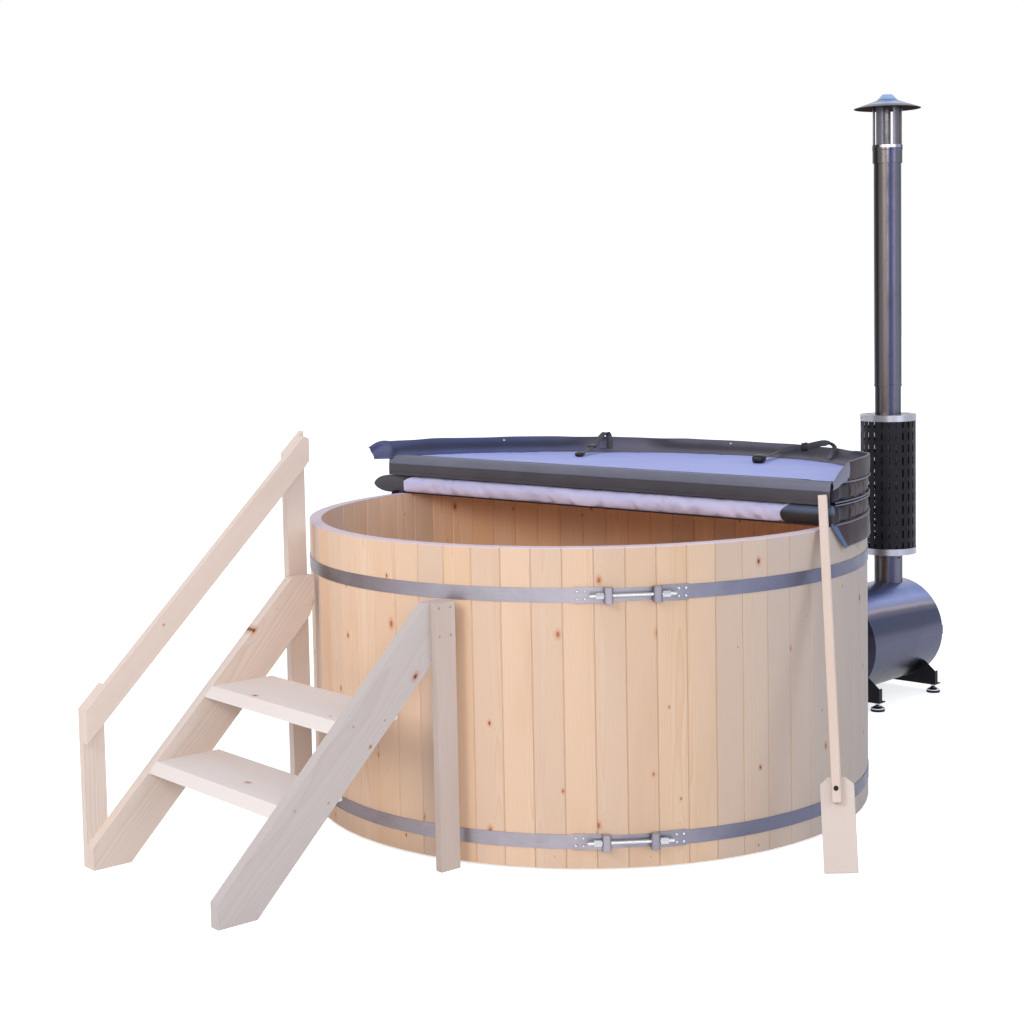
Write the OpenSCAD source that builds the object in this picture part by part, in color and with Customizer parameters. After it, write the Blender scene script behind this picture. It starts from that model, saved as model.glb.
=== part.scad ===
// Wooden hot tub with an outside wood-fired stove, a folding cover, steps and a paddle.
// Millimetres, +Z up. The tub's axis is the Z axis and the underside of its joists is z = 0.
// Azimuths are in degrees from +X towards +Y; the front of the tub faces -Y.

/* [Tub wall] */
// Outside diameter of the tub across the flats of two opposite staves
tub_d = 2000; // [1400:10:2400]
// Height of the rim above the ground
tub_h = 1020; // [850:5:1250]
// Number of staves in the wall
stave_n = 64; // [40:2:80]
// Thickness of a stave
stave_t = 42; // [32:1:55]
// Azimuth of the first joint between two staves
stave_phase = 1; // [0:0.1:5]
// Chamfer along the edges of each stave
stave_chamfer = 3; // [1:0.5:5]
// Width of the tongue on each stave
tongue_w = 10; // [6:0.5:14]
// How far the tongue stands out
tongue_d = 6; // [3:0.5:10]
// Clearance of the tongue in its groove
tongue_gap = 0.3; // [0.1:0.1:1]
// Gap between the sides of two staves, or of two floor boards
joint_gap = 0.2; // [0.1:0.05:0.6]
// Height of the stave ends above the ground
stave_lift = 8; // [2:1:30]

/* [Floor] */
// Height of the joists that the tub stands on
joist_h = 92; // [60:1:140]
// Width of a joist
joist_w = 70; // [45:1:95]
// Number of joists
joist_n = 5; // [3:2:7]
// Distance between the joists
joist_spacing = 360; // [200:5:400]
// Gap between a joist's end and the wall
joist_gap = 12; // [3:1:40]
// Thickness of the floor boards
floor_t = 42; // [28:1:50]
// Width of a floor board
board_w = 120; // [90:1:200]
// Depth of the groove that holds the floor in the staves
croze_d = 10; // [6:1:14]
// Clearance of the floor in its groove
croze_gap = 0.6; // [0.2:0.1:1.5]

/* [Hoops] */
// Width of a hoop
hoop_w = 45; // [30:1:60]
// Thickness of a hoop
hoop_t = 1.5; // [1:0.1:3]
// Clearance between a hoop and the stave edges
hoop_fit = 0.1; // [0.05:0.05:0.5]
// Height of the middle of the upper hoop
hoop_upper_z = 873; // [700:1:900]
// Height of the middle of the lower hoop
hoop_lower_z = 94; // [60:1:200]
// Azimuth of the middle of the upper tensioner
tension_upper_az = -82.15; // [-95:0.05:-70]
// Azimuth of the middle of the lower tensioner
tension_lower_az = -83.1; // [-95:0.05:-70]
// Distance between the two trunnions of a tensioner
trunnion_span = 154; // [120:1:200]
// Diameter of a trunnion
trunnion_d = 25; // [20:0.5:32]
// Height of a trunnion
trunnion_h = 50; // [40:1:64]
// Clearance of a trunnion in its loop
trunnion_gap = 0.4; // [0.1:0.1:1]
// Thickness of the end strap that loops round the trunnion
loop_t = 2; // [1.5:0.1:3]
// Length of the end strap beyond its trunnion
loop_tail = 107; // [85:1:140]
// Diameter of the tension rod
rod_d = 12; // [8:1:14]
// Length of the tension rod
rod_l = 274; // [240:1:320]
// Clearance of the rod in the trunnions and nuts
rod_gap = 0.2; // [0.1:0.05:0.5]
// Width of a tension nut across its flats
nut_af = 19; // [17:1:24]
// Length of a tension nut
nut_l = 25; // [12:1:35]
// Diameter of a rivet's shank
rivet_d = 5; // [3:0.5:6]
// Distance between two rivets, along the strap and across it
rivet_pitch = 24; // [16:1:28]

/* [Bench] */
// Height of the seat above the tub's floor
seat_h = 400; // [300:5:480]
// Width of a seat slat
slat_w = 90; // [60:1:110]
// Thickness of a seat slat
slat_t = 28; // [20:1:40]
// Gap between seat slats
slat_gap = 8; // [3:1:15]
// Number of slats across the seat
slat_rows = 3; // [2:1:3]
// Width of the bearers and legs under the seat
bearer_w = 60; // [40:1:80]
// Height of a bearer and depth of a leg
bearer_h = 45; // [30:1:60]

/* [Steps] */
// Direction in which the steps climb, towards the tub's axis
steps_az = 42.4; // [30:0.1:60]
// Distance of the front of the steps from the tub's axis
steps_front = 1819; // [1810:1:2100]
// Run of the steps from front to back
steps_run = 866; // [840:1:900]
// Width over both stringers
steps_w = 795; // [700:1:820]
// Thickness of a stringer
stringer_t = 40; // [28:1:50]
// Height of a stringer's level top
stringer_top = 853; // [800:1:880]
// Height of a stringer's plumb cut at the front
stringer_toe = 76; // [50:1:100]
// Length of a stringer's seat on the ground
stringer_seat = 132; // [100:1:160]
// Thickness of a tread
tread_t = 32; // [24:1:45]
// Height of the lower tread's top
tread_1 = 312; // [250:1:340]
// Height of the upper tread's top
tread_2 = 528; // [480:1:560]
// Depth of a tread's flat top
tread_depth = 232; // [200:1:240]
// Clearance between a tread and the stringers
tread_gap = 0.2; // [0.1:0.1:1]
// Thickness of the posts and the handrail
post_t = 28; // [22:1:40]
// Width of a post
post_w = 75; // [60:1:100]
// Width of the handrail
rail_w = 78; // [60:1:100]
// Height of the handrail's upper edge at the front
rail_front_h = 515; // [400:1:650]
// Slope of the handrail in degrees
rail_slope = 43.9; // [40:0.1:46]
// Diameter of a wood screw's shank
screw_d = 5; // [4:0.5:6]
// Length of a wood screw
screw_l = 62; // [45:1:66]

/* [Paddle] */
// Azimuth at which the handle leans on the rim
paddle_az = -40.6; // [-41.6:0.1:-39.6]
// Lean of the paddle from upright, in degrees
paddle_lean = 22.56; // [18:0.05:25]
// Azimuth towards which the paddle leans
paddle_lean_az = 88.7; // [80:0.1:95]
// Turn of the paddle about its own length
paddle_turn = 257.75; // [254:0.05:262]
// Width of the blade
blade_w = 104; // [80:1:130]
// Thickness of the blade
blade_t = 20; // [14:1:26]
// Length of the blade
blade_l = 292; // [240:1:330]
// Side of the square handle
handle_w = 28; // [22:1:32]
// Height of the handle's lower end on the blade
handle_start = 211; // [150:1:230]
// Height of the handle's upper end along the paddle
handle_end = 1202; // [1150:1:1210]
// Diameter of the bolt through blade and handle
paddle_bolt_d = 8; // [6:0.5:10]

/* [Cover] */
// Azimuth of the middle of the covered half
cover_az = 50.7; // [49:0.1:53]
// Thickness of a pad at the fold
pad_fold = 74; // [60:1:90]
// Thickness of a pad at its rim
pad_rim = 60; // [50:1:70]
// Distance from the fold line to the straight edge of each pad
fold_half = 43; // [41:0.5:60]
// Height of the skirt
skirt_h = 77; // [50:1:95]
// Thickness of the skirt
skirt_t = 3.5; // [2:0.5:6]
// Clearance between the skirt and the staves
skirt_gap = 3.3; // [2:0.1:10]
// Clearance of the pads on the rim and on each other
pad_gap = 0.5; // [0.2:0.1:2]
// Rounding of a pad's straight edge
pad_round = 24; // [8:1:28]
// Height of the folded hinge flap
flap_h = 42; // [20:1:55]
// Width of a cover strap
strap_w = 25; // [18:1:38]

/* [Stove] */
// Azimuth of the stove and the chimney
stove_az = 50; // [47:0.1:53]
// Distance of the stove's near end from the tub's axis
stove_near = 1627; // [1560:1:1700]
// Length of the stove's shell
stove_l = 563; // [500:1:700]
// Diameter of the stove's shell
stove_d = 444; // [400:1:480]
// Height of the stove's axis
stove_z = 271; // [258:1:300]
// Thickness of the steel sheet
sheet_t = 3; // [2:0.5:4]
// Inside diameter of the firebox
firebox_d = 324; // [280:1:340]
// Diameter of the door opening
door_open_d = 280; // [240:1:290]
// Height of the saddles' foot flange above the ground
saddle_z = 38; // [34:1:46]
// Half of the distance between two feet
foot_half = 205; // [190:1:210]
// Diameter of a levelling foot
foot_d = 60; // [40:1:70]

/* [Chimney] */
// Distance of the chimney from the tub's axis
flue_dist = 2105; // [2060:1:2120]
// Outside diameter of the stub on the stove
stub_d = 125; // [118:1:135]
// Outside diameter of the lower flue
flue_lower_d = 115; // [112:0.5:116]
// Outside diameter of the upper flue
flue_upper_d = 120; // [118:0.5:124]
// Wall of the flues
flue_wall = 1; // [0.8:0.1:1.2]
// Height of the joint between the flues
flue_joint_z = 1365; // [1300:1:1450]
// Height of the upper flue's end
flue_top_z = 2400; // [2300:1:2500]
// Diameter over the guard's rings
guard_ring_d = 248; // [220:1:260]
// Height at which the guard starts
guard_z = 617; // [580:1:650]
// Height at which the guard ends
guard_top_z = 1240; // [1220:1:1290]
// Number of slots around the guard
guard_cols = 24; // [12:2:24]
// Number of rows of slots in the guard
guard_rows = 11; // [6:1:11]
// Height of a slot in the guard
slot_h = 34; // [16:1:40]
// Width of a slot in the guard
slot_w = 8; // [4:0.5:10]
// Diameter of the rain cap
cap_d = 290; // [240:1:340]
// Height of the rain cap's rim
cap_z = 2590; // [2560:1:2600]

/* [Water fittings] */
// Outside diameter of the water pipes
pipe_d = 48; // [40:1:52]
// Height of the lower water pipe
pipe_low_z = 195; // [190:1:230]
// Height of the upper water pipe
pipe_high_z = 375; // [330:1:400]
// Azimuth of the drain
drain_az = 95; // [90:1:120]
// Outside diameter of the drain's hose tail
tail_d = 32; // [25:1:34]
// Length of the drain's hose tail
tail_l = 45; // [30:1:60]

/* [Hidden] */
$fn = 96;
e = 0.01;
seat = 0.3;                                   // gap between pieces that rest on each other

// --- derived values: tub
Ro = tub_d / 2;
Ri = Ro - stave_t;
half_a = 180 / stave_n;
stave_a = 360 / stave_n;
corner_r = sqrt(pow(Ro, 2) + pow(Ro * tan(half_a) - stave_chamfer, 2));
floor_z = joist_h;
floor_top = floor_z + floor_t;
floor_r = Ri + croze_d - croze_gap;
hoop_r = corner_r + hoop_fit;                 // inside of a hoop
strap_r = hoop_r + hoop_t + 0.05;             // inside of an end strap
loop_r = trunnion_d / 2 + trunnion_gap + loop_t;
barrel_r = strap_r + loop_r;                  // distance of a trunnion from the tub's axis
barrel_a = asin(trunnion_span / 2 / barrel_r);
rod_x = barrel_r * cos(barrel_a);
tail_a = loop_tail / barrel_r * 180 / PI;
rivet_a = rivet_pitch / barrel_r * 180 / PI;

// --- derived values: bench
seat_z = floor_top + seat_h;
bench_n = 8;
bench_a = 180 / bench_n;
bench_out = (Ri - 8) * cos(bench_a);
bench_in = bench_out - slat_rows * slat_w - (slat_rows - 1) * slat_gap;
bench_turn = stove_az;
entry_seg = 4;                                // the seat is open opposite the stove, by the steps

// --- derived values: steps
rail_dz = rail_w / cos(rail_slope);
function rail_h(s) = rail_front_h + s * tan(rail_slope);
near_y = -steps_w / 2;                        // outer face of the stringer on the camera's side
far_y = steps_w / 2;
rear_post_s = steps_run - post_w;
tread_1_s = tread_1 - stringer_toe;
tread_2_s = tread_2 - stringer_toe;

// --- derived values: paddle
pad_a = [sin(paddle_lean) * cos(paddle_lean_az), sin(paddle_lean) * sin(paddle_lean_az),
    cos(paddle_lean)];
function turned(v, a) = [v[0] * cos(a) - v[1] * sin(a), v[0] * sin(a) + v[1] * cos(a), v[2]];
pad_b = turned([cos(paddle_lean) * cos(paddle_turn), sin(paddle_turn),
    -sin(paddle_lean) * cos(paddle_turn)], paddle_lean_az);
pad_back_z = -sin(paddle_lean) * cos(paddle_turn + 90);
paddle_z = seat + blade_t * abs(pad_back_z) + blade_w / 2 * abs(pad_b[2]);
lean_off = (paddle_az - stave_phase + 360 * 2) % stave_a - half_a;    // from the middle of its stave
lean_r = Ro / cos(lean_off) + seat;
lean_p = [lean_r * cos(paddle_az), lean_r * sin(paddle_az), tub_h];
lean_t = (tub_h + handle_w / 2 * pad_b[2] - paddle_z) / pad_a[2];
paddle_o = lean_p + handle_w / 2 * pad_b - lean_t * pad_a;

// --- derived values: cover
cover_r = corner_r + skirt_gap + skirt_t;
pad_z = tub_h + pad_gap;
pad_slope = atan((pad_fold - pad_rim) / (cover_r - fold_half));
fold_z = pad_z + pad_fold + fold_half * tan(pad_slope) + pad_gap / 2 / cos(pad_slope);
skirt_cut = 9;                                // degrees of skirt left out beside the paddle
strap_angles = [35.8, -28.2];

// --- derived values: stove, chimney and fittings
stove_r = stove_d / 2;
stove_far = stove_near + stove_l;
fire_r = firebox_d / 2;
fire_near = stove_near + 70;
grate_drop = 0.605 * fire_r;                  // top of the grate's ledges below the stove's axis
grate_w = 1.407 * fire_r;
plate_t = 4;
front_far = stove_far + plate_t;
door_t = 10;
door_near = front_far + 1;
door_far = door_near + door_t;
door_r = door_open_d / 2 + 18;
hinge_y = door_r + 22;
hinge_t = door_near + 8;
latch_y = -(door_open_d / 2 + 4);
latch_open = 75;                              // how far the latch is drawn turned back from its keeper
damper_z = stove_z - 82;
saddle_ts = [stove_near + 13, stove_far - 77];
saddle_w = foot_half + 25;
flange_w = 50;
web_h = 0.48 * (stove_z - saddle_z);          // the saddle's web and its turned lips
lip_h = 0.266 * (stove_z - saddle_z);
pipe_r = pipe_d / 2;
pipe_zs = [pipe_low_z, pipe_high_z];
in_face = Ri * cos(half_a) - 36 * sin(half_a);
spigot_out = Ro + 85;
sleeve_l = 90;
sleeve_r = pipe_r + 6;
sleeve_xs = [spigot_out - 40, stove_near - 32 - sleeve_l];
drain_z = floor_top + 32;
drain_r = 17;
valve_x = Ro + 62;
valve_l = 54;
ball_r = 17;
stub_r = stub_d / 2;
fl_r = flue_lower_d / 2;
fu_r = flue_upper_d / 2;
guard_r = guard_ring_d / 2 - 2.5;             // outside of the perforated tube
slot_pitch = (guard_top_z - guard_z - 24) / guard_rows;
collar_z = flue_top_z - 50;
collar_top = flue_top_z + 30;
leg_r = fu_r + 2.2;
cone_dz = 35;
crown_r = 46;
cap_t = 1.5;
function cone_under(r) = cap_z + cone_dz * (cap_d / 2 - r) / (cap_d / 2 - crown_r);
leg_az = [227.65, 299.65, 11.65, 83.65, 155.65];

// ---------------------------------------------------------------- helpers
module stove_frame() { rotate([0, 0, stove_az]) children(); }
module flue_frame() { rotate([0, 0, stove_az]) translate([flue_dist, 0, 0]) rotate([0, 0, -stove_az]) children(); }
module steps_frame() { rotate([0, 0, steps_az]) translate([-steps_front, 0, 0]) children(); }
module cover_frame() { rotate([0, 0, cover_az]) children(); }
module drain_frame() { rotate([0, 0, drain_az]) children(); }
module along_x(x0, x1, r) { translate([x0, 0, 0]) rotate([0, 90, 0]) cylinder(h = x1 - x0, r = r); }
module tube_x(x0, x1, ro, ri) {
    translate([x0, 0, 0]) rotate([0, 90, 0]) difference() {
        cylinder(h = x1 - x0, r = ro);
        translate([0, 0, -1]) cylinder(h = x1 - x0 + 2, r = ri);
    }
}
module ring(z0, z1, ro, ri) {
    translate([0, 0, z0]) difference() {
        cylinder(h = z1 - z0, r = ro);
        translate([0, 0, -1]) cylinder(h = z1 - z0 + 2, r = ri);
    }
}
// A profile in the (s, h) plane, given a thickness across the steps from y0 to y1
module upright(y0, y1) { translate([0, y1, 0]) rotate([90, 0, 0]) linear_extrude(y1 - y0) children(); }
// A band of the hoop's width between two azimuths
module band(r0, t, w, a0, a1) {
    rotate([0, 0, a0]) rotate_extrude(angle = a1 - a0, $fn = 180) translate([r0, -w / 2]) square([t, w]);
}
// Points of an arc, used to round a corner of a profile
function arc(c, r, a0, a1, n) = [for (i = [0:n]) c + r * [cos(a0 + (a1 - a0) * i / n), sin(a0 + (a1 - a0) * i / n)]];
// A strip of thickness t along a line of points
function dir(p, q) = (q - p) / norm(q - p);
function side(p, i, t) = let (a = i > 0 ? dir(p[i - 1], p[i]) : dir(p[0], p[1]),
    b = i < len(p) - 1 ? dir(p[i], p[i + 1]) : a, m = dir([0, 0], a + b)) p[i] + t * [-m[1], m[0]] / (m * a);
function strip(p, t) = concat(p, [for (i = [len(p) - 1:-1:0]) side(p, i, t)]);

// ---------------------------------------------------------------- tub wall and floor
function edge(r, d, s) = let (q = d - joint_gap / 2)
    [r * cos(half_a) - q * sin(half_a), s * (r * sin(half_a) + q * cos(half_a))];
module stave_profile() {
    ro = (Ro - stave_chamfer) / cos(half_a);
    ri = (Ri + stave_chamfer) / cos(half_a);
    rm = (Ro + Ri) / 2;
    tw = tongue_w / 2;
    gw = tw + tongue_gap;
    gd = tongue_d + tongue_gap;
    polygon([
        [Ro, -(Ro * tan(half_a) - stave_chamfer)], [Ro, Ro * tan(half_a) - stave_chamfer],
        edge(ro, 0, 1), edge(rm + tw, 0, 1), edge(rm + tw - 1, tongue_d, 1),
        edge(rm - tw + 1, tongue_d, 1), edge(rm - tw, 0, 1), edge(ri, 0, 1),
        [Ri, Ri * tan(half_a) - stave_chamfer], [Ri, -(Ri * tan(half_a) - stave_chamfer)],
        edge(ri, 0, -1), edge(rm - gw, 0, -1), edge(rm - gw + 1, -gd, -1),
        edge(rm + gw - 1, -gd, -1), edge(rm + gw, 0, -1), edge(ro, 0, -1)]);
}
function off(a, b) = abs(((a - b) % 360 + 540) % 360 - 180);
module staves() color([0.90, 0.79, 0.64]) {
    for (k = [0:stave_n - 1]) {
        az = stave_phase + (k + 0.5) * stave_a;
        difference() {
            rotate([0, 0, az]) translate([0, 0, stave_lift]) linear_extrude(tub_h - stave_lift) stave_profile();
            translate([0, 0, floor_z - croze_gap]) cylinder(h = floor_t + 2 * croze_gap, r = Ri + croze_d, $fn = 360);
            if (off(az, stove_az) < stave_a) stove_frame() for (z = pipe_zs)
                translate([0, 0, z]) along_x(Ri - 60, Ro + 40, pipe_r + 0.4);
            if (off(az, drain_az) < stave_a) drain_frame()
                translate([0, 0, drain_z]) along_x(Ri - 60, Ro + 40, drain_r + 0.4);
        }
    }
}
module floor_boards() color([0.86, 0.74, 0.58]) {
    n = ceil(floor_r / board_w);
    tw = tongue_w / 2;
    for (k = [-n:n - 1]) {
        y = k * board_w;
        y1 = y + board_w - joint_gap;
        if (y < floor_r - 12 && y + board_w > 12 - floor_r) intersection() {
            translate([-floor_r - 5, 0, floor_z]) rotate([90, 0, 90]) linear_extrude(2 * floor_r + 10) polygon([
                [y, 0], [y1, 0], [y1, floor_t / 2 - tw], [y1 + tongue_d, floor_t / 2 - tw + 1],
                [y1 + tongue_d, floor_t / 2 + tw - 1], [y1, floor_t / 2 + tw], [y1, floor_t],
                [y, floor_t], [y, floor_t / 2 + tw + tongue_gap], [y + tongue_d + tongue_gap, floor_t / 2 + tw - 1 + tongue_gap],
                [y + tongue_d + tongue_gap, floor_t / 2 - tw + 1 - tongue_gap], [y, floor_t / 2 - tw - tongue_gap]]);
            translate([0, 0, floor_z - 1]) cylinder(h = floor_t + 2, r = floor_r, $fn = 360);
        }
    }
}
module floor_joists() color([0.80, 0.68, 0.52]) {
    for (k = [-(joist_n - 1) / 2:(joist_n - 1) / 2]) {
        x = k * joist_spacing;
        l = sqrt(pow(Ri * cos(half_a) - joist_gap, 2) - pow(abs(x) + joist_w / 2, 2));
        translate([x - joist_w / 2, 0, 0]) rotate([90, 0, 90]) linear_extrude(joist_w) polygon([
            [-l + 15, 0], [l - 15, 0], [l, 15], [l, joist_h], [-l, joist_h], [-l, 15]]);
    }
}

// ---------------------------------------------------------------- hoops and tensioners
module at_tension(k) {
    rotate([0, 0, k == 0 ? tension_upper_az : tension_lower_az])
        translate([0, 0, k == 0 ? hoop_upper_z : hoop_lower_z]) children();
}
// The four rivet places of one end strap, on the side s of the tensioner
module at_rivets(s) {
    for (i = [0, 1], j = [-1, 1])
        rotate([0, 0, s * (barrel_a + tail_a - rivet_a * (i + 0.45))]) translate([0, 0, j * rivet_pitch / 2]) children();
}
module hoop(k) {
    at_tension(k) difference() {
        band(hoop_r, hoop_t, hoop_w, barrel_a, 360 - barrel_a);
        for (s = [-1, 1]) at_rivets(s) along_x(hoop_r - 5, hoop_r + 8, rivet_d / 2 + 0.1);
    }
}
module hoop_upper() color([0.62, 0.63, 0.65]) hoop(0);
module hoop_lower() color([0.62, 0.63, 0.65]) hoop(1);
module bridge_straps() color([0.58, 0.59, 0.61]) {
    for (k = [0, 1]) at_tension(k) band(hoop_r, hoop_t, hoop_w - 4, -barrel_a + 0.05, barrel_a - 0.05);
}
module end_loops() color([0.68, 0.69, 0.71]) {
    for (k = [0, 1], s = [-1, 1]) at_tension(k) difference() {
        union() {
            band(strap_r, loop_t, trunnion_h, min(s * barrel_a, s * (barrel_a + tail_a)),
                max(s * barrel_a, s * (barrel_a + tail_a)));
            translate([rod_x, s * trunnion_span / 2, -trunnion_h / 2]) difference() {
                cylinder(h = trunnion_h, r = loop_r);
                translate([0, 0, -1]) cylinder(h = trunnion_h + 2, r = loop_r - loop_t);
            }
        }
        translate([rod_x, -trunnion_span, 0]) rotate([-90, 0, 0]) cylinder(h = 2 * trunnion_span, r = rod_d / 2 + 1);
        at_rivets(s) along_x(hoop_r - 5, strap_r + 12, rivet_d / 2 + 0.1);
    }
}
module strap_rivets() color([0.74, 0.75, 0.77]) {
    for (k = [0, 1], s = [-1, 1]) at_tension(k) at_rivets(s) {
        rotate([0, 90, 0]) rotate_extrude() polygon(concat([[0, hoop_r + 0.05], [rivet_d / 2, hoop_r + 0.05],
            [rivet_d / 2, strap_r + loop_t + 0.1], [rivet_d, strap_r + loop_t + 0.1]],
            arc([0, strap_r + loop_t + 0.1], rivet_d, 20, 90, 6)));
    }
}
module trunnions() color([0.72, 0.73, 0.75]) {
    for (k = [0, 1], s = [-1, 1]) at_tension(k) difference() {
        translate([rod_x, s * trunnion_span / 2, -trunnion_h / 2]) cylinder(h = trunnion_h, r = trunnion_d / 2);
        translate([rod_x, -trunnion_span, 0]) rotate([-90, 0, 0]) cylinder(h = 2 * trunnion_span, r = rod_d / 2 + rod_gap);
    }
}
module tension_rods() color([0.78, 0.79, 0.80]) {
    for (k = [0, 1]) at_tension(k) translate([rod_x, -rod_l / 2, 0]) rotate([-90, 0, 0]) cylinder(h = rod_l, r = rod_d / 2);
}
module tension_nuts() color([0.76, 0.77, 0.79]) {
    for (k = [0, 1], s = [-1, 1]) at_tension(k)
        translate([rod_x, s * (trunnion_span / 2 + loop_r + seat + nut_l / 2), 0]) rotate([-90, 0, 0])
        difference() {
            cylinder(h = nut_l, r = nut_af / 2 / cos(30), center = true, $fn = 6);
            cylinder(h = nut_l + 2, r = rod_d / 2 + rod_gap, center = true);
        }
}

// ---------------------------------------------------------------- bench
module bench_slats() color([0.88, 0.77, 0.62]) {
    for (k = [0:bench_n - 1]) if (k != entry_seg) rotate([0, 0, bench_turn + k * 2 * bench_a])
        for (j = [0:slat_rows - 1]) {
            x1 = bench_out - j * (slat_w + slat_gap);
            x0 = x1 - slat_w;
            g = 2;
            translate([0, 0, seat_z - slat_t]) linear_extrude(slat_t) polygon([
                [x0, -(x0 * tan(bench_a) - g)], [x1, -(x1 * tan(bench_a) - g)],
                [x1, x1 * tan(bench_a) - g], [x0, x0 * tan(bench_a) - g]]);
        }
}
module bench_frames() color([0.82, 0.70, 0.54]) {
    top = seat_z - slat_t;
    r1 = Ri * cos(half_a) - bearer_w / 2 * sin(half_a) - 1;
    r0 = bench_in / cos(bench_a) - 6;
    for (k = [0:bench_n - 1]) rotate([0, 0, bench_turn + (2 * k + 1) * bench_a]) {
        // bearer with its nose cut back below
        translate([0, bearer_w / 2, 0]) rotate([90, 0, 0]) linear_extrude(bearer_w) polygon([
            [r0 + 20, top - bearer_h], [r1, top - bearer_h], [r1, top], [r0, top], [r0, top - bearer_h + 20]]);
        for (x = [r0 + 30, r1 - bearer_h]) translate([x, -bearer_w / 2, floor_top])
            cube([bearer_h, bearer_w, top - bearer_h - floor_top]);
    }
}

// ---------------------------------------------------------------- water fittings
module wall_fittings() color([0.72, 0.73, 0.75]) {
    stove_frame() for (z = pipe_zs) translate([0, 0, z]) difference() {
        union() {
            along_x(in_face - 24, spigot_out, pipe_r);
            along_x(corner_r + 0.2, corner_r + 6.2, pipe_r + 20);
        }
        along_x(in_face - 30, spigot_out + 5, pipe_r - 2);
    }
}
module wall_backnuts() color([0.66, 0.67, 0.69]) {
    stove_frame() for (z = pipe_zs) translate([0, 0, z]) difference() {
        translate([in_face - 12, 0, 0]) rotate([0, 90, 0]) cylinder(h = 12 - 0.2, r = 34, $fn = 6);
        along_x(in_face - 20, in_face + 5, pipe_r + 0.2);
    }
}
module inlet_strainers() color([0.80, 0.81, 0.82]) {
    // a cap with slots pushed over each inside end
    stove_frame() for (z = pipe_zs) translate([0, 0, z]) difference() {
        along_x(in_face - 46, in_face - 12.5, pipe_r + 3);
        along_x(in_face - 44, in_face, pipe_r + 0.3);
        for (a = [0:30:150]) rotate([a, 0, 0]) translate([in_face - 42, -pipe_r - 10, -2]) cube([14, 2 * pipe_r + 20, 4]);
    }
}
module water_pipes() color([0.70, 0.71, 0.74]) {
    stove_frame() for (z = pipe_zs) translate([0, 0, z])
        tube_x(spigot_out + 4, stove_near - 76, pipe_r, pipe_r - 2);
}
module pipe_sleeves() color([0.10, 0.10, 0.11]) {
    stove_frame() for (z = pipe_zs, x = sleeve_xs) translate([0, 0, z])
        tube_x(x, x + sleeve_l, sleeve_r, pipe_r + 0.1);
}
module sleeve_clamps() color([0.78, 0.79, 0.80]) {
    stove_frame() for (z = pipe_zs, x = sleeve_xs, d = [10, sleeve_l - 22]) translate([0, 0, z]) {
        difference() {
            union() {
                along_x(x + d, x + d + 12, sleeve_r + 1.2);
                translate([x + d - 1, -9, sleeve_r]) cube([14, 18, 9]);
            }
            along_x(x + d - 5, x + d + 20, sleeve_r + 0.1);
        }
    }
}

// ---------------------------------------------------------------- stove
module stove_shell() color([0.66, 0.70, 0.78]) {
    difference() {
        stove_frame() translate([0, 0, stove_z]) tube_x(stove_near + sheet_t, stove_far, stove_r, stove_r - sheet_t);
        flue_frame() translate([0, 0, stove_z]) cylinder(h = stove_r + 20, r = stub_r + 0.3);
    }
}
module stove_back() color([0.30, 0.32, 0.36]) {
    // dished end with its turned rim, and the two water spigots
    stove_frame() difference() {
        union() {
            translate([stove_near, 0, stove_z]) rotate([0, 90, 0]) rotate_extrude() polygon([
                [0, -8], [stove_r - 60, -8], [stove_r - 24, 0], [stove_r, 0], [stove_r, sheet_t],
                [stove_r - 24, sheet_t], [stove_r - 60, sheet_t - 8], [0, sheet_t - 8]]);
            for (z = pipe_zs) translate([0, 0, z]) along_x(stove_near - 72, stove_near - 1, pipe_r);
        }
        for (z = pipe_zs) translate([0, 0, z]) along_x(stove_near - 80, stove_near + 10, pipe_r - 2);
    }
}
module stove_front() color([0.30, 0.31, 0.33]) {
    stove_frame() translate([0, 0, stove_z]) tube_x(stove_far, front_far, stove_r, door_open_d / 2);
}
module latch_keeper() color([0.50, 0.51, 0.53]) {
    // hook open at the top: a block on the front plate, a floor and an outer leaf that the tongue drops behind
    leaf = door_far + 10.5;
    stove_frame() translate([0, latch_y, stove_z]) difference() {
        translate([front_far, -66, -20]) cube([leaf + 5 - front_far, 26, 40]);
        translate([door_far + 3, -60, -9]) cube([leaf - door_far - 3, 30, 40]);
        translate([front_far - 1, -48, -30]) cube([door_far + 4 - front_far, 20, 60]);
    }
}
module firebox() color([0.24, 0.24, 0.25]) {
    difference() {
        stove_frame() translate([0, 0, stove_z]) union() {
            tube_x(fire_near, stove_far - 0.2, fire_r + sheet_t, fire_r);
            along_x(fire_near, fire_near + sheet_t, fire_r + 1);
            // ledges that carry the grate
            for (s = [-1, 1]) intersection() {
                translate([fire_near + 1, s > 0 ? grate_w / 2 - 14 : -grate_w / 2 - 36, -grate_drop - 6])
                    cube([stove_l - 80, 50, 6]);
                along_x(fire_near, stove_far - 1, fire_r + 1);
            }
        }
        flue_frame() translate([0, 0, stove_z]) cylinder(h = stove_r, r = stub_r + 0.3);
    }
}
module fire_grate() color([0.16, 0.16, 0.17]) {
    // cast grate: two end bars joined by long bars with air gaps between them
    gx0 = fire_near + 20;
    gl = stove_far - 30 - gx0;
    stove_frame() translate([gx0, 0, stove_z - grate_drop + seat]) {
        for (x = [0, gl - 16]) translate([x, -grate_w / 2, 0]) cube([16, grate_w, 12]);
        for (i = [0:8]) translate([0, i * (grate_w - 12) / 8 - grate_w / 2, 0]) cube([gl, 12, 12]);
    }
}
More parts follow.
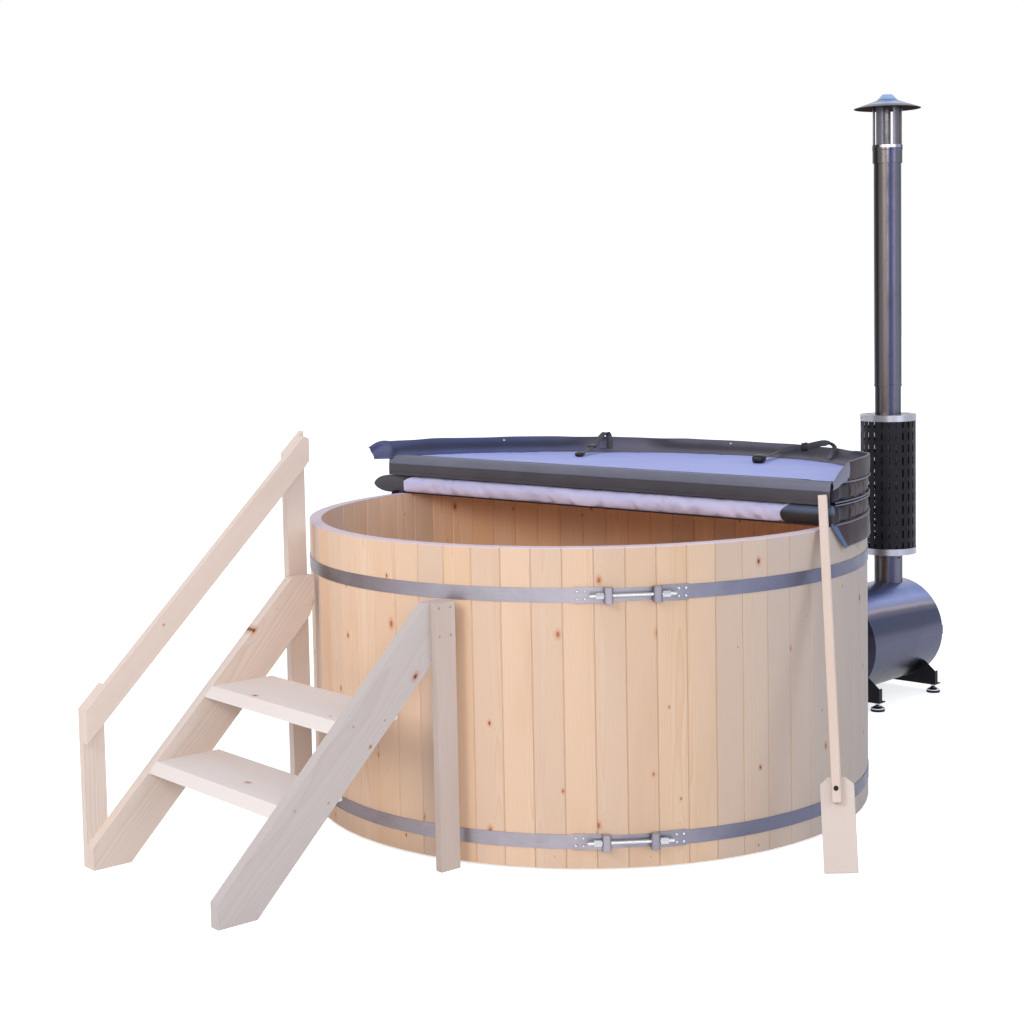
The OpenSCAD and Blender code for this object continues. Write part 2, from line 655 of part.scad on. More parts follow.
module stove_saddles() color([0.10, 0.10, 0.11]) {
    // folded sheet: an upright web cut to the shell, a foot flange and a stiffening lip at each side
    stove_frame() for (x = saddle_ts) difference() {
        union() {
            translate([x, 0, 0]) rotate([90, 0, 90]) linear_extrude(4) polygon([
                [-saddle_w, saddle_z], [saddle_w, saddle_z], [saddle_w, saddle_z + lip_h],
                [saddle_w - 60, saddle_z + web_h], [60 - saddle_w, saddle_z + web_h], [-saddle_w, saddle_z + lip_h]]);
            translate([x, -saddle_w, saddle_z]) cube([flange_w, 2 * saddle_w, 4]);
            for (s = [0, 1]) translate([x, s * (2 * saddle_w - 4) - saddle_w, saddle_z]) cube([24, 4, lip_h]);
        }
        translate([0, 0, stove_z]) along_x(x - 10, x + flange_w + 10, stove_r + seat);
        for (s = [-1, 1]) translate([x + flange_w / 2 + 4, s * foot_half, saddle_z - 5]) cylinder(h = 20, r = 6.3);
    }
}
module at_feet() {
    stove_frame() for (x = saddle_ts, s = [-1, 1]) translate([x + flange_w / 2 + 4, s * foot_half, 0]) children();
}
module levelling_feet() color([0.80, 0.81, 0.83]) {
    // flared base, stem and the two nuts that clamp the flange
    at_feet() {
        rotate_extrude() polygon([[0, 10.2], [foot_d / 2 - 1, 10.2], [foot_d / 2 - 1, 14], [foot_d / 2 - 10, 19],
            [12, 23], [8, saddle_z - 8.3], [6, saddle_z - 8.3], [6, saddle_z + 42], [0, saddle_z + 42]]);
        translate([0, 0, saddle_z - 8.3]) cylinder(h = 8, r = 10.4, $fn = 6);
        translate([0, 0, saddle_z + 4.3]) cylinder(h = 8, r = 10.4, $fn = 6);
    }
}
module foot_pads() color([0.07, 0.07, 0.08]) { at_feet() cylinder(h = 10, r = foot_d / 2); }

// ---------------------------------------------------------------- chimney
module flue_stub() color([0.13, 0.13, 0.14]) {
    z0 = stove_z + sqrt(pow(fire_r, 2) - pow(stub_r, 2)) - 6;
    flue_frame() difference() {
        rotate_extrude() polygon([[stub_r - 2, z0], [stub_r, z0], [stub_r, guard_z - seat],
            [fl_r + 0.4, guard_z - seat], [fl_r + 0.4, guard_z - 4], [stub_r - 2, guard_z - 4],
            [stub_r - 2, guard_z - 62], [fl_r - 3, guard_z - 62], [fl_r - 3, guard_z - 64], [stub_r - 2, guard_z - 68]]);
        for (a = [0:60:300]) rotate([0, 0, a]) translate([stub_r - 6, -17, guard_z - 22]) cube([12, 34, 6]);
    }
}
module guard_ring(z0, up) {
    // a flat plate round the flue with a turned rim over the perforated tube
    h = 28;
    zp = up ? z0 : z0 + h - 2;
    flue_frame() difference() {
        union() {
            ring(z0, z0 + h, guard_ring_d / 2, guard_r + 0.5);
            ring(zp, zp + 2, guard_ring_d / 2, fl_r + 0.4);
        }
        for (a = [0:45:315]) rotate([0, 0, a + 22.5]) translate([(fl_r + guard_r) / 2, 0, zp - 1]) cylinder(h = 4, r = 14);
        for (a = [0:90:270]) rotate([0, 0, a + guard_screw_az]) translate([0, 0, z0 + h / 2]) along_x(guard_r - 5, guard_r + 10, 2.1);
    }
}
guard_screw_az = 10.65;
module guard_ring_lower() color([0.60, 0.62, 0.66]) guard_ring(guard_z, true);
module guard_ring_upper() color([0.60, 0.62, 0.66]) guard_ring(guard_top_z - 28, false);
module guard_tube() color([0.08, 0.08, 0.09]) {
    z0 = guard_z + 2.3;
    z1 = guard_top_z - 2.3;
    flue_frame() difference() {
        ring(z0, z1, guard_r, guard_r - 1.5);
        for (r = [0:guard_rows - 1], c = [0:guard_cols / 2 - 1])
            translate([0, 0, guard_z + 12 + (r + 0.5) * slot_pitch]) rotate([0, 0, (c + 0.5) * 360 / guard_cols])
            cube([2 * guard_r + 10, slot_w, slot_h], center = true);
        for (a = [0:90:270], z = [guard_z + 14, guard_top_z - 14]) rotate([0, 0, a + guard_screw_az])
            translate([0, 0, z]) along_x(guard_r - 5, guard_r + 10, 2.1);
    }
}
module guard_screws() color([0.75, 0.76, 0.78]) {
    flue_frame() for (a = [0:90:270], z = [guard_z + 14, guard_top_z - 14]) rotate([0, 0, a + guard_screw_az])
        translate([0, 0, z]) {
            along_x(guard_r - 4, guard_ring_d / 2 + 0.2, 2);
            along_x(guard_ring_d / 2 + 0.15, guard_ring_d / 2 + 3, 4);
        }
}
module flue_lower() color([0.40, 0.42, 0.45]) { flue_frame() ring(guard_z - 61.7, flue_joint_z + 50, fl_r, fl_r - flue_wall); }
module flue_upper() color([0.44, 0.46, 0.49]) {
    // socket bead at the joint
    flue_frame() rotate_extrude() polygon([[fl_r + seat, flue_joint_z], [fu_r + 1.5, flue_joint_z],
        [fu_r + 1.5, flue_joint_z + 6], [fu_r, flue_joint_z + 8], [fu_r, flue_top_z], [fu_r - flue_wall, flue_top_z],
        [fu_r - flue_wall, flue_joint_z + 9], [fl_r + seat, flue_joint_z + 7]]);
}
module cap_collar() color([0.52, 0.54, 0.57]) {
    // clamping band with a beaded upper edge and a lip that rests on the flue's end
    r = leg_r + 1.9;
    flue_frame() rotate_extrude() polygon([[fu_r + 0.3, collar_z], [r + 1, collar_z], [r + 1, collar_top - 25],
        [r + 2.3, collar_top - 23], [r + 2.3, collar_top - 2], [r + 1.2, collar_top], [r, collar_top],
        [r, collar_z + 6], [fu_r + 0.3, collar_z + 6]]);
}
module cap_legs() color([0.46, 0.48, 0.51]) {
    top = cone_under(leg_r + 1.6) - cap_t - 0.4;
    flue_frame() for (a = leg_az) rotate([0, 0, a]) translate([0, 0, collar_z + 6.3])
        rotate([0, 0, -16.4]) rotate_extrude(angle = 32.8) translate([leg_r, 0]) square([1.6, top - collar_z - 6.3]);
}
module rain_cap() color([0.48, 0.50, 0.53]) {
    flue_frame() rotate_extrude() polygon([[cap_d / 2, cap_z - cap_t], [cap_d / 2 + 1, cap_z - 0.5], [cap_d / 2, cap_z + 0.4],
        [crown_r, cap_z + cone_dz], [crown_r / 2, cap_z + cone_dz + 25], [0, cap_z + cone_dz + 25],
        [0, cap_z + cone_dz + 25 - cap_t], [crown_r / 2 - 0.6, cap_z + cone_dz + 25 - cap_t],
        [crown_r - 0.8, cap_z + cone_dz - cap_t], [cap_d / 2 - 1, cap_z - cap_t]]);
}

// ---------------------------------------------------------------- stove door
module at_hinges() { stove_frame() translate([hinge_t, hinge_y, stove_z]) for (z = [-90, 90]) translate([0, 0, z]) children(); }
module door_hinge_pins() color([0.22, 0.22, 0.23]) {
    at_hinges() {
        cylinder(h = 62, r = 4, center = true);
        for (z = [-23.3, 23.3]) translate([0, 0, z]) difference() {
            union() {
                cylinder(h = 14, r = 8, center = true);
                translate([-(hinge_t - front_far) + 0.1, -6, -7]) cube([hinge_t - front_far, 12, 14]);
            }
            cylinder(h = 20, r = 4.1, center = true);
        }
    }
}
module stove_door() color([0.13, 0.13, 0.14]) {
    stove_frame() difference() {
        union() {
            translate([0, 0, stove_z]) along_x(door_near, door_far, door_r);
            translate([0, 0, stove_z]) tube_x(door_far - 1, door_far + 4, door_r, door_r - 8);
            for (z = [-90, 90]) translate([0, 0, stove_z + z]) {
                translate([door_near + 2, door_r - 60, -15]) cube([door_t - 2, hinge_y - door_r + 60, 30]);
                translate([hinge_t, hinge_y, -15]) cylinder(h = 30, r = 8);
            }
            // guides for the damper
            for (z = [-25, 25]) translate([door_far - 1, -80, damper_z + z - 3]) cube([4.6, 160, 6]);
            for (z = [-22.5, 22.5]) translate([door_far + 3.4, -80, damper_z + z - 5.5]) cube([2, 160, 11]);
        }
        translate([hinge_t, hinge_y, stove_z - 200]) cylinder(h = 400, r = 4.25);
        translate([0, latch_y, stove_z]) along_x(door_near - 5, door_far + 10, 6.3);
        for (y = [-40, 40]) translate([0, y, damper_z]) along_x(door_near - 5, door_far + 1, 11);
    }
}
module door_latch() color([0.55, 0.56, 0.58]) {
    // spindle through the door, tongue, and a lever with a swelling grip
    stove_frame() translate([0, latch_y, stove_z]) rotate([-latch_open, 0, 0]) {
        along_x(door_near + 0.5, door_far + 32, 6);
        translate([door_far + 4.5, -54, -7]) cube([4, 54, 14]);
        along_x(door_far + 4.1, door_far + 10, 12.5);
        translate([door_far + 22, 0, 0]) {
            translate([0, -8, -9]) cube([12, 16, 111]);
            translate([6, 0, 99]) rotate_extrude()
                polygon([[0, 0], [9, 0], [11, 15], [9.4, 60], [12, 90], [7, 98], [0, 100]]);
        }
    }
}
module air_damper() color([0.50, 0.51, 0.53]) {
    stove_frame() difference() {
        union() {
            translate([door_far + 0.4, -62, damper_z - 21.5]) cube([2.6, 124, 43]);
            translate([0, 0, damper_z]) along_x(door_far + 2, door_far + 24, 5);
            translate([0, 0, damper_z]) along_x(door_far + 18, door_far + 30, 9);
        }
        for (y = [-40, 40]) translate([0, y, damper_z]) along_x(door_far - 5, door_far + 10, 11);
    }
}

// ---------------------------------------------------------------- drain
module drain_body() color([0.74, 0.66, 0.42]) {
    drain_frame() translate([0, 0, drain_z]) difference() {
        union() {
            along_x(in_face - 4, valve_x, drain_r);
            along_x(corner_r + 0.2, corner_r + 5.2, drain_r + 14);
            along_x(in_face - 8, in_face - 2, drain_r + 10);
            along_x(valve_x - 1, valve_x + valve_l, ball_r + 6);
            along_x(valve_x + valve_l - 1, valve_x + valve_l + tail_l, tail_d / 2);
            translate([valve_x + valve_l / 2, 0, 0]) cylinder(h = ball_r + 14, r = 10);
        }
        along_x(in_face - 20, valve_x + valve_l / 2, 11);
        along_x(valve_x + valve_l / 2, valve_x + valve_l + tail_l + 5, 11);
        translate([valve_x + valve_l / 2, 0, 0]) sphere(r = ball_r + 0.3);
        translate([valve_x + valve_l / 2, 0, 0]) cylinder(h = ball_r + 30, r = 5.2);
    }
}
module drain_ball() color([0.80, 0.81, 0.82]) {
    drain_frame() translate([valve_x + valve_l / 2, 0, drain_z]) rotate([90, 0, 0]) rotate_extrude() intersection() {
        circle(r = ball_r);
        translate([11, -ball_r]) square([ball_r, 2 * ball_r]);
    }
}
module drain_lever() color([0.62, 0.12, 0.10]) {
    // lever across the pipe when the valve is shut
    drain_frame() translate([valve_x + valve_l / 2, 0, drain_z]) {
        translate([0, 0, ball_r + 0.3]) cylinder(h = 22, r = 5);
        translate([0, 0, ball_r + 14.4]) {
            cylinder(h = 4, r = 13);
            translate([-9, 0, 0]) cube([18, 95, 4]);
            translate([0, 95, 0]) cylinder(h = 4, r = 9);
        }
        translate([0, 0, ball_r + 18.3]) cylinder(h = 6, r = 8, $fn = 6);
    }
}

// ---------------------------------------------------------------- steps
module stringer_profile() {
    p = stringer_top - stringer_toe;
    polygon(concat([[0, 0], [stringer_seat, 0], [steps_run - 19, steps_run - 19 - stringer_seat],
        [steps_run, steps_run - stringer_seat + 27], [steps_run, stringer_top]],
        arc([p + 10.4, stringer_top - 25], 25, 90, 135, 5), [[0, stringer_toe]]));
}
tread_screws = [[tread_1_s + 34, tread_1 - tread_t / 2], [tread_1_s + 156, tread_1 - tread_t / 2],
    [tread_2_s + 37, tread_2 - tread_t / 2], [tread_2_s + 154, tread_2 - tread_t / 2]];
near_post_screws = [[rear_post_s + 12, stringer_top - 17], [rear_post_s + 57, stringer_top - 17],
    [rear_post_s + 12, stringer_top - 105], [rear_post_s + 57, stringer_top - 105]];
tall_post_screws = near_post_screws;
low_post_screws = [[20, stringer_toe - 40], [52, stringer_toe - 14]];
rail_screws = [[24, rail_front_h - 36], [52, rail_front_h - 36], [rear_post_s + 20, rail_h(rear_post_s) - 36],
    [rear_post_s + 50, rail_h(rear_post_s) - 16]];
// A countersunk screw with its head on the plane y = 0, pointing along +Y
module screw(gap) {
    rotate([-90, 0, 0]) {
        translate([0, 0, -0.01]) cylinder(h = screw_d * 0.5, r1 = screw_d * 0.95 + gap, r2 = screw_d / 2 + gap);
        cylinder(h = screw_l + gap, r = screw_d / 2 + gap);
    }
}
module step_screw_set(gap, l = 0) {
    for (p = tread_screws) {
        translate([p[0], near_y, p[1]]) screw(gap);
        translate([p[0], far_y, p[1]]) mirror([0, 1, 0]) screw(gap);
    }
    for (p = near_post_screws) translate([p[0], near_y - post_t, p[1]]) screw(gap);
    for (p = concat(tall_post_screws, low_post_screws)) translate([p[0], far_y + post_t, p[1]]) mirror([0, 1, 0]) screw(gap);
    for (p = rail_screws) translate([p[0], far_y + post_t, p[1]]) mirror([0, 1, 0]) screw_short(gap);
}
module screw_short(gap) {
    rotate([-90, 0, 0]) {
        translate([0, 0, -0.01]) cylinder(h = screw_d * 0.5, r1 = screw_d * 0.95 + gap, r2 = screw_d / 2 + gap);
        cylinder(h = 1.6 * post_t + gap, r = screw_d / 2 + gap);
    }
}
module step_stringers() color([0.80, 0.74, 0.71]) {
    steps_frame() difference() {
        union() {
            upright(near_y, near_y + stringer_t) stringer_profile();
            upright(far_y - stringer_t, far_y) stringer_profile();
        }
        step_screw_set(0.1);
    }
}
module step_treads() color([0.83, 0.77, 0.73]) {
    y = steps_w / 2 - stringer_t - tread_gap;
    steps_frame() for (t = [[tread_1_s, tread_1], [tread_2_s, tread_2]]) difference() {
        upright(-y, y) polygon([[t[0], t[1]], [t[0] - tread_t, t[1] - tread_t],
            [t[0] + tread_depth, t[1] - tread_t], [t[0] + tread_depth, t[1]]]);
        step_screw_set(0.1);
    }
}
module step_posts() color([0.79, 0.73, 0.70]) {
    steps_frame() difference() {
        union() {
            upright(near_y - post_t, near_y) polygon([[rear_post_s, 0], [steps_run, 0], [steps_run, stringer_top],
                [rear_post_s, stringer_top]]);
            upright(far_y, far_y + post_t) polygon([[rear_post_s, 0], [steps_run, 0], [steps_run, rail_h(steps_run)],
                [rear_post_s, rail_h(rear_post_s)]]);
            upright(far_y, far_y + post_t) polygon([[0, 0], [post_w, 0], [post_w, rail_h(post_w)], [0, rail_h(0)]]);
        }
        step_screw_set(0.1);
    }
}
module handrail() color([0.82, 0.76, 0.72]) {
    x = steps_run + 4;
    steps_frame() difference() {
        upright(far_y - post_t, far_y) polygon([[0, rail_h(0) - rail_dz], [x - 20, rail_h(x - 20) - rail_dz],
            [x, rail_h(x) - rail_dz + 4], [x, rail_h(x) - 29], [x - 20, rail_h(x - 20)], [0, rail_h(0)]]);
        step_screw_set(0.1);
    }
}
module step_screws() color([0.70, 0.68, 0.60]) { steps_frame() step_screw_set(0); }

// ---------------------------------------------------------------- paddle
// The paddle's own frame: X across the blade, Y to its back, Z up its length
module paddle_frame() {
    translate(paddle_o) rotate([0, 0, paddle_lean_az]) rotate([0, paddle_lean, 0]) rotate([0, 0, paddle_turn]) children();
}
bolt_z = handle_start + 43;
module paddle_blade() color([0.86, 0.76, 0.68]) {
    b = blade_w / 2;
    n = handle_w / 2 + 13;
    paddle_frame() difference() {
        rotate([90, 0, 180]) linear_extrude(blade_t) polygon([[-b, 0], [b, 0], [b, blade_l - 22],
            [n, blade_l], [-n, blade_l], [-b, blade_l - 22]]);
        translate([0, -60, bolt_z]) rotate([-90, 0, 0]) cylinder(h = 120, r = paddle_bolt_d / 2 + 0.2);
    }
}
module paddle_handle() color([0.88, 0.79, 0.70]) {
    c = 2;
    h = handle_w / 2;
    paddle_frame() difference() {
        translate([0, -h, handle_start]) linear_extrude(handle_end - handle_start) polygon([[-h + c, -h], [h - c, -h],
            [h, -h + c], [h, h - e], [-h, h - e], [-h, -h + c]]);
        translate([0, -60, bolt_z]) rotate([-90, 0, 0]) cylinder(h = 120, r = paddle_bolt_d / 2 + 0.2);
    }
}
module paddle_bolt() color([0.25, 0.22, 0.20]) {
    paddle_frame() translate([0, 0, bolt_z]) {
        translate([0, -handle_w - 0.1, 0]) rotate([90, 0, 0]) rotate_extrude() polygon([[0, 0], [paddle_bolt_d, 0],
            [paddle_bolt_d * 0.8, 2.5], [0, 4]]);
        translate([0, -handle_w - 1, 0]) rotate([-90, 0, 0]) cylinder(h = handle_w + blade_t + 5, r = paddle_bolt_d / 2);
        translate([0, blade_t + 0.1, 0]) rotate([-90, 0, 0]) cylinder(h = 5, r = paddle_bolt_d * 0.9, $fn = 6);
    }
}

// ---------------------------------------------------------------- cover
// One pad as it lies open on the rim: flat below, sloping from the fold to its rim
module pad() {
    r = pad_round;
    z1 = pad_z + pad_fold;
    intersection() {
        rotate([90, 0, 0]) linear_extrude(2 * cover_r, center = true) polygon(concat(
            [[cover_r + 1, pad_z], [cover_r + 1, z1 - (cover_r + 1 - fold_half) * tan(pad_slope)]],
            arc([fold_half + r, z1 - r - r * tan(pad_slope)], r, 90 - pad_slope, 180, 6),
            arc([fold_half + r, pad_z + r], r, 180, 270, 6)));
        translate([0, 0, pad_z - 1]) cylinder(h = pad_fold + 2, r = cover_r, $fn = 360);
    }
}
module skirt(a0, a1) {
    intersection() {
        rotate([0, 0, a0]) rotate_extrude(angle = a1 - a0, $fn = 360) translate([cover_r - skirt_t, pad_z - skirt_h])
            square([skirt_t, skirt_h]);
        translate([fold_half, -2 * cover_r, 0]) cube([4 * cover_r, 4 * cover_r, 3 * tub_h]);
    }
}
// Turns what is drawn on an open half up and over to where it lies on the lower half
module folded() {
    translate([0, 0, fold_z]) rotate([0, 180 + 2 * pad_slope, 0]) translate([0, 0, -fold_z]) mirror([1, 0, 0]) children();
}
module cover_pad_lower() color([0.68, 0.69, 0.87]) { cover_frame() pad(); }
module cover_skirt_lower() color([0.27, 0.24, 0.25]) { cover_frame() skirt(-90, 90); }
module cover_pad_upper() color([0.66, 0.67, 0.86]) { cover_frame() folded() pad(); }
module cover_skirt_upper() color([0.30, 0.29, 0.31]) { cover_frame() folded() skirt(-90 + skirt_cut, 90); }
module cover_hinge() color([0.22, 0.23, 0.25]) {
    // it stops short of the paddle's handle at one end
    cover_frame() folded() translate([fold_half - 5, 68 - cover_r, pad_z + pad_fold - pad_round - flap_h + 18])
        cube([4.5, 2 * cover_r - 76, flap_h]);
}
// Strap path in the radial plane of an open half: sewn outside the skirt, round its edge, then back under the pad
function strap_path() = [[cover_r + 0.3, pad_z - 20], [cover_r + 0.3, pad_z - skirt_h - 2], [cover_r - 4, pad_z - skirt_h - 12],
    [cover_r - 20, pad_z - skirt_h - 14], [cover_r - 42, pad_z - skirt_h + 4], [cover_r - 92, pad_z - 12],
    [cover_r - 118, pad_z - 2.2], [cover_r - 150, pad_z - 2.2]];
module at_straps() { cover_frame() folded() for (a = strap_angles) rotate([0, 0, a]) children(); }
module cover_straps() color([0.13, 0.13, 0.15]) {
    at_straps() rotate([90, 0, 0]) linear_extrude(strap_w, center = true) polygon(strip(strap_path(), 1.6));
}
module strap_buckles() color([0.08, 0.08, 0.09]) {
    at_straps() translate([cover_r - 196, 0, pad_z - 10.4]) difference() {
        translate([0, 0, 0]) linear_extrude(10) polygon([[0, -strap_w / 2 - 2], [4, -strap_w / 2 - 5], [40, -strap_w / 2 - 5],
            [45.5, -strap_w / 2], [45.5, strap_w / 2], [40, strap_w / 2 + 5], [4, strap_w / 2 + 5], [0, strap_w / 2 + 2]]);
        translate([-5, -strap_w / 2, 3]) cube([20, strap_w, 4]);
    }
}

staves();
floor_boards();
floor_joists();
hoop_upper();
hoop_lower();
bridge_straps();
end_loops();
strap_rivets();
trunnions();
tension_rods();
tension_nuts();
bench_slats();
bench_frames();
wall_fittings();
wall_backnuts();
inlet_strainers();
water_pipes();
pipe_sleeves();
sleeve_clamps();
stove_shell();
stove_back();
stove_front();
firebox();
fire_grate();
latch_keeper();
stove_saddles();
levelling_feet();
foot_pads();
flue_stub();
guard_ring_lower();
guard_tube();
guard_ring_upper();
guard_screws();
flue_lower();
flue_upper();
cap_collar();
cap_legs();
rain_cap();
door_hinge_pins();
stove_door();
door_latch();
air_damper();
drain_body();
drain_lever();
drain_ball();
step_stringers();
step_treads();
step_posts();
handrail();
step_screws();
paddle_blade();
paddle_handle();
paddle_bolt();
cover_pad_lower();
cover_skirt_lower();
cover_pad_upper();
cover_skirt_upper();
cover_hinge();
cover_straps();
strap_buckles();
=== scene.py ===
"""Wooden hot tub with an outside stove, a folded cover, steps and a paddle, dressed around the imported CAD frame."""

from math import atan, atan2, copysign, cos, degrees, hypot, pi, radians, sin, sqrt, tan, tau

import bpy
from mathutils import Matrix, Vector, noise


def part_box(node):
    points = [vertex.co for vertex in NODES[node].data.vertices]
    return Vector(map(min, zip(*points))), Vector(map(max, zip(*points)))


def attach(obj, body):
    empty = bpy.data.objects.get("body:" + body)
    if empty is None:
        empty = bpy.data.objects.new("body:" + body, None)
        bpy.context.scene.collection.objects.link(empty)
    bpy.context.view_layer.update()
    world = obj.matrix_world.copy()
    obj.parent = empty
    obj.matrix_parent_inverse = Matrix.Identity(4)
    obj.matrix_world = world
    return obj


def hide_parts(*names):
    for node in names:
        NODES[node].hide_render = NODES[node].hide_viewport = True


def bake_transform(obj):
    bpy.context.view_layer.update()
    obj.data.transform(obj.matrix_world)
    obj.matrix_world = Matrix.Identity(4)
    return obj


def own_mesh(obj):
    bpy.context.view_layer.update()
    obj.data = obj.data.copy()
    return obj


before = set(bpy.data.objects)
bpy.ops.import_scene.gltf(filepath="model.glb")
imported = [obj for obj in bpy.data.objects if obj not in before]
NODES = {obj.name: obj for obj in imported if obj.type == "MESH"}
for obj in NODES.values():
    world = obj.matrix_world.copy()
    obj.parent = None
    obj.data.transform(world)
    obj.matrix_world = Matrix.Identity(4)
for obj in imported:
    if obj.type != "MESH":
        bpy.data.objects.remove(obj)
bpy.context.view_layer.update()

# ---- places, in metres and degrees
STAVE_N = 64
STAVE_PHASE = 1.0  # azimuth of the first joint between two staves
TUB_R = 1.0
TUB_H = 1.02
STAVE_T = 0.042
STOVE_AZ = 50.0
STOVE_Z = 0.271
STOVE_R = 0.225
FLUE_DIST = 2.105
COLLAR_LIP = 0.014
CAP_R = 0.13
STEPS_AZ = 42.4
STEPS_FRONT = 1.819
COVER_AZ = 50.7
PADDLE_LEAN = 22.56
PADDLE_LEAN_AZ = 88.7
PADDLE_TURN = 257.75


def turn(angle, axis="Z"):
    return Matrix.Rotation(radians(angle), 4, axis)


STOVE = turn(STOVE_AZ)
COVER = turn(COVER_AZ)
STEPS = turn(STEPS_AZ) @ Matrix.Translation((-STEPS_FRONT, 0, 0))
FLUE = Matrix.Translation(STOVE @ Vector((FLUE_DIST, 0, 0)))
UPRIGHT = Matrix.Identity(4)
UP = Vector((0, 0, 1))


# ---- shader helpers
def linear(r, g, b):
    """An sRGB colour as Blender's linear values."""
    return tuple(c / 12.92 if c <= 0.04045 else ((c + 0.055) / 1.055) ** 2.4 for c in (r, g, b))


def settle(thing, **facts):
    """Sets facts on a thing, and returns it."""
    for name, value in facts.items():
        setattr(thing, name, value)
    return thing


class Value:
    """What comes out of a node. Arithmetic with it adds nodes."""

    def __init__(self, nodes, socket):
        self.nodes = nodes
        self.socket = socket

    def __add__(self, other):
        return self.nodes.math("ADD", self, other)

    def __radd__(self, other):
        return self.nodes.math("ADD", other, self)

    def __sub__(self, other):
        return self.nodes.math("SUBTRACT", self, other)

    def __rsub__(self, other):
        return self.nodes.math("SUBTRACT", other, self)

    def __mul__(self, other):
        return self.nodes.math("MULTIPLY", self, other)


class Nodes:
    """A node tree. From math on, each method adds nodes and returns what comes out of them."""

    def __init__(self, tree):
        self.tree = tree

    def feed(self, target, value):
        if isinstance(value, Value):
            self.tree.links.new(value.socket, target)
        elif isinstance(value, tuple) and len(value) == 3 and target.type == "RGBA":
            target.default_value = (*value, 1)
        else:
            target.default_value = value

    def new(self, kind, *values, **facts):
        """Returns the node itself, with the values fed to its first inputs."""
        node = settle(self.tree.nodes.new("ShaderNode" + kind), **facts)
        for target, value in zip(node.inputs, values):
            self.feed(target, value)
        return node

    def value(self, node, output=0):
        return Value(self, node.outputs[output])

    def parts(self, node):
        return [Value(self, socket) for socket in node.outputs]

    def math(self, operation, *values):
        return self.value(self.new("Math", *values, operation=operation))

    def larger(self, a, b):
        return self.math("MAXIMUM", a, b)

    def vector(self, *values):
        return self.value(self.new("CombineXYZ", *values))

    def split(self, vector):
        return self.parts(self.new("SeparateXYZ", vector))

    def step(self, value, low, high, out_low=0.0, out_high=1.0):
        """Goes smoothly from out_low to out_high as value goes from low to high."""
        values = (value, low, high, out_low, out_high)
        return self.value(self.new("MapRange", *values, interpolation_type="SMOOTHSTEP"))

    def noise(self, vector, scale, detail, roughness=0.5):
        return self.value(self.new("TexNoise", vector, 0.0, scale, detail, roughness))

    def random(self, value):
        """Three random numbers from 0 to 1 for a whole number."""
        lot = self.new("TexWhiteNoise", (0, 0, 0), value, noise_dimensions="1D")
        return self.parts(self.new("SeparateColor", self.value(lot, "Color")))

    def mix(self, factor, a, b, blend="MIX"):
        node = self.new("Mix", factor, data_type="RGBA", blend_type=blend)
        self.feed(node.inputs[6], a)
        self.feed(node.inputs[7], b)
        return self.value(node, 2)

    def times(self, a, b):
        """Two colours multiplied."""
        return self.mix(1.0, a, b, "MULTIPLY")

    def ramp(self, value, stops):
        """The colour at value among stops, which are a place and an sRGB colour each."""
        node = self.new("ValToRGB", value)
        marks = node.color_ramp.elements
        marks[0].position, marks[1].position = stops[0][0], stops[-1][0]
        for stop in stops[1:-1]:
            marks.new(stop[0])
        for mark, stop in zip(marks, stops):
            mark.color = (*linear(*stop[1:]), 1)
        return self.value(node)


class Graph(Nodes):
    """One material's nodes. x, y and z, together here, are the surface's place in the axes of place, in metres."""

    def __init__(self, name, place=UPRIGHT):
        self.material = bpy.data.materials.new(name)
        self.material.use_nodes = True
        super().__init__(self.material.node_tree)
        self.shader = self.tree.nodes["Principled BSDF"]
        inverse = place.inverted()
        flip = Matrix.Diagonal((copysign(1.0, place.determinant()), 1, 1, 1))
        spot = self.value(self.new("TexCoord"), "Object")
        parts = (inverse.to_translation(), (inverse @ flip).to_euler("XYZ"), (flip[0][0], 1, 1))
        self.here = self.value(self.new("Mapping", spot, *parts, vector_type="POINT"))
        self.x, self.y, self.z = self.split(self.here)

    def stretched(self, x, y, z):
        """The place, with its axes multiplied."""
        return self.vector(self.x * x, self.y * y, self.z * z)

    def reach(self):
        """The distance from the upright axis."""
        return self.math("SQRT", self.x * self.x + self.y * self.y)

    def azimuth(self):
        return self.math("ARCTAN2", self.y, self.x)

    def toward(self, azimuth, angle):
        """1 where the azimuth is that many degrees, and -1 on the other side."""
        return self.math("COSINE", azimuth - radians(angle))

    def set(self, **values):
        """Feeds the shader's inputs, whose names have _ for a space."""
        for name, value in values.items():
            self.feed(self.shader.inputs[name.replace("_", " ")], value)

    def bump(self, height, distance, strength):
        node = self.new("Bump")
        for name, value in (("Height", height), ("Distance", distance), ("Strength", strength)):
            self.feed(node.inputs[name], value)
        self.set(Normal=self.value(node))


# ---- wood
# The pale, late, brown and aged wood of each kind of board
SPRUCE = ((0.885, 0.775, 0.675), (0.83, 0.655, 0.50), (0.58, 0.35, 0.22), (0.79, 0.71, 0.655))
# The step and tread pines are one wood: the treads' copy is painted lighter, as painted light on their upward faces.
STEP_PINE = ((0.86, 0.80, 0.755), (0.785, 0.68, 0.60), (0.56, 0.40, 0.32), (0.80, 0.765, 0.74))
TREAD_PINE_LIT = ((0.90, 0.855, 0.82), (0.84, 0.755, 0.69), (0.58, 0.42, 0.33), (0.84, 0.815, 0.80))
PADDLE_PINE = ((0.80, 0.745, 0.71), (0.765, 0.67, 0.60), (0.58, 0.39, 0.29), (0.76, 0.72, 0.695))
KNOT_RING = linear(0.80, 0.52, 0.34)
KNOT_DEAD = linear(0.26, 0.15, 0.11)
KNOT_CELL = 0.125  # a cell this wide has one knot at most
KNOT_RADIUS = (0.0022, 0.0068)  # the smallest knot, and what the largest adds
RINGS = (260.0, 190.0)  # growth rings in a metre: the fewest, and what the tightest board adds
FIBRES = 760.0  # fibres in a metre across the grain


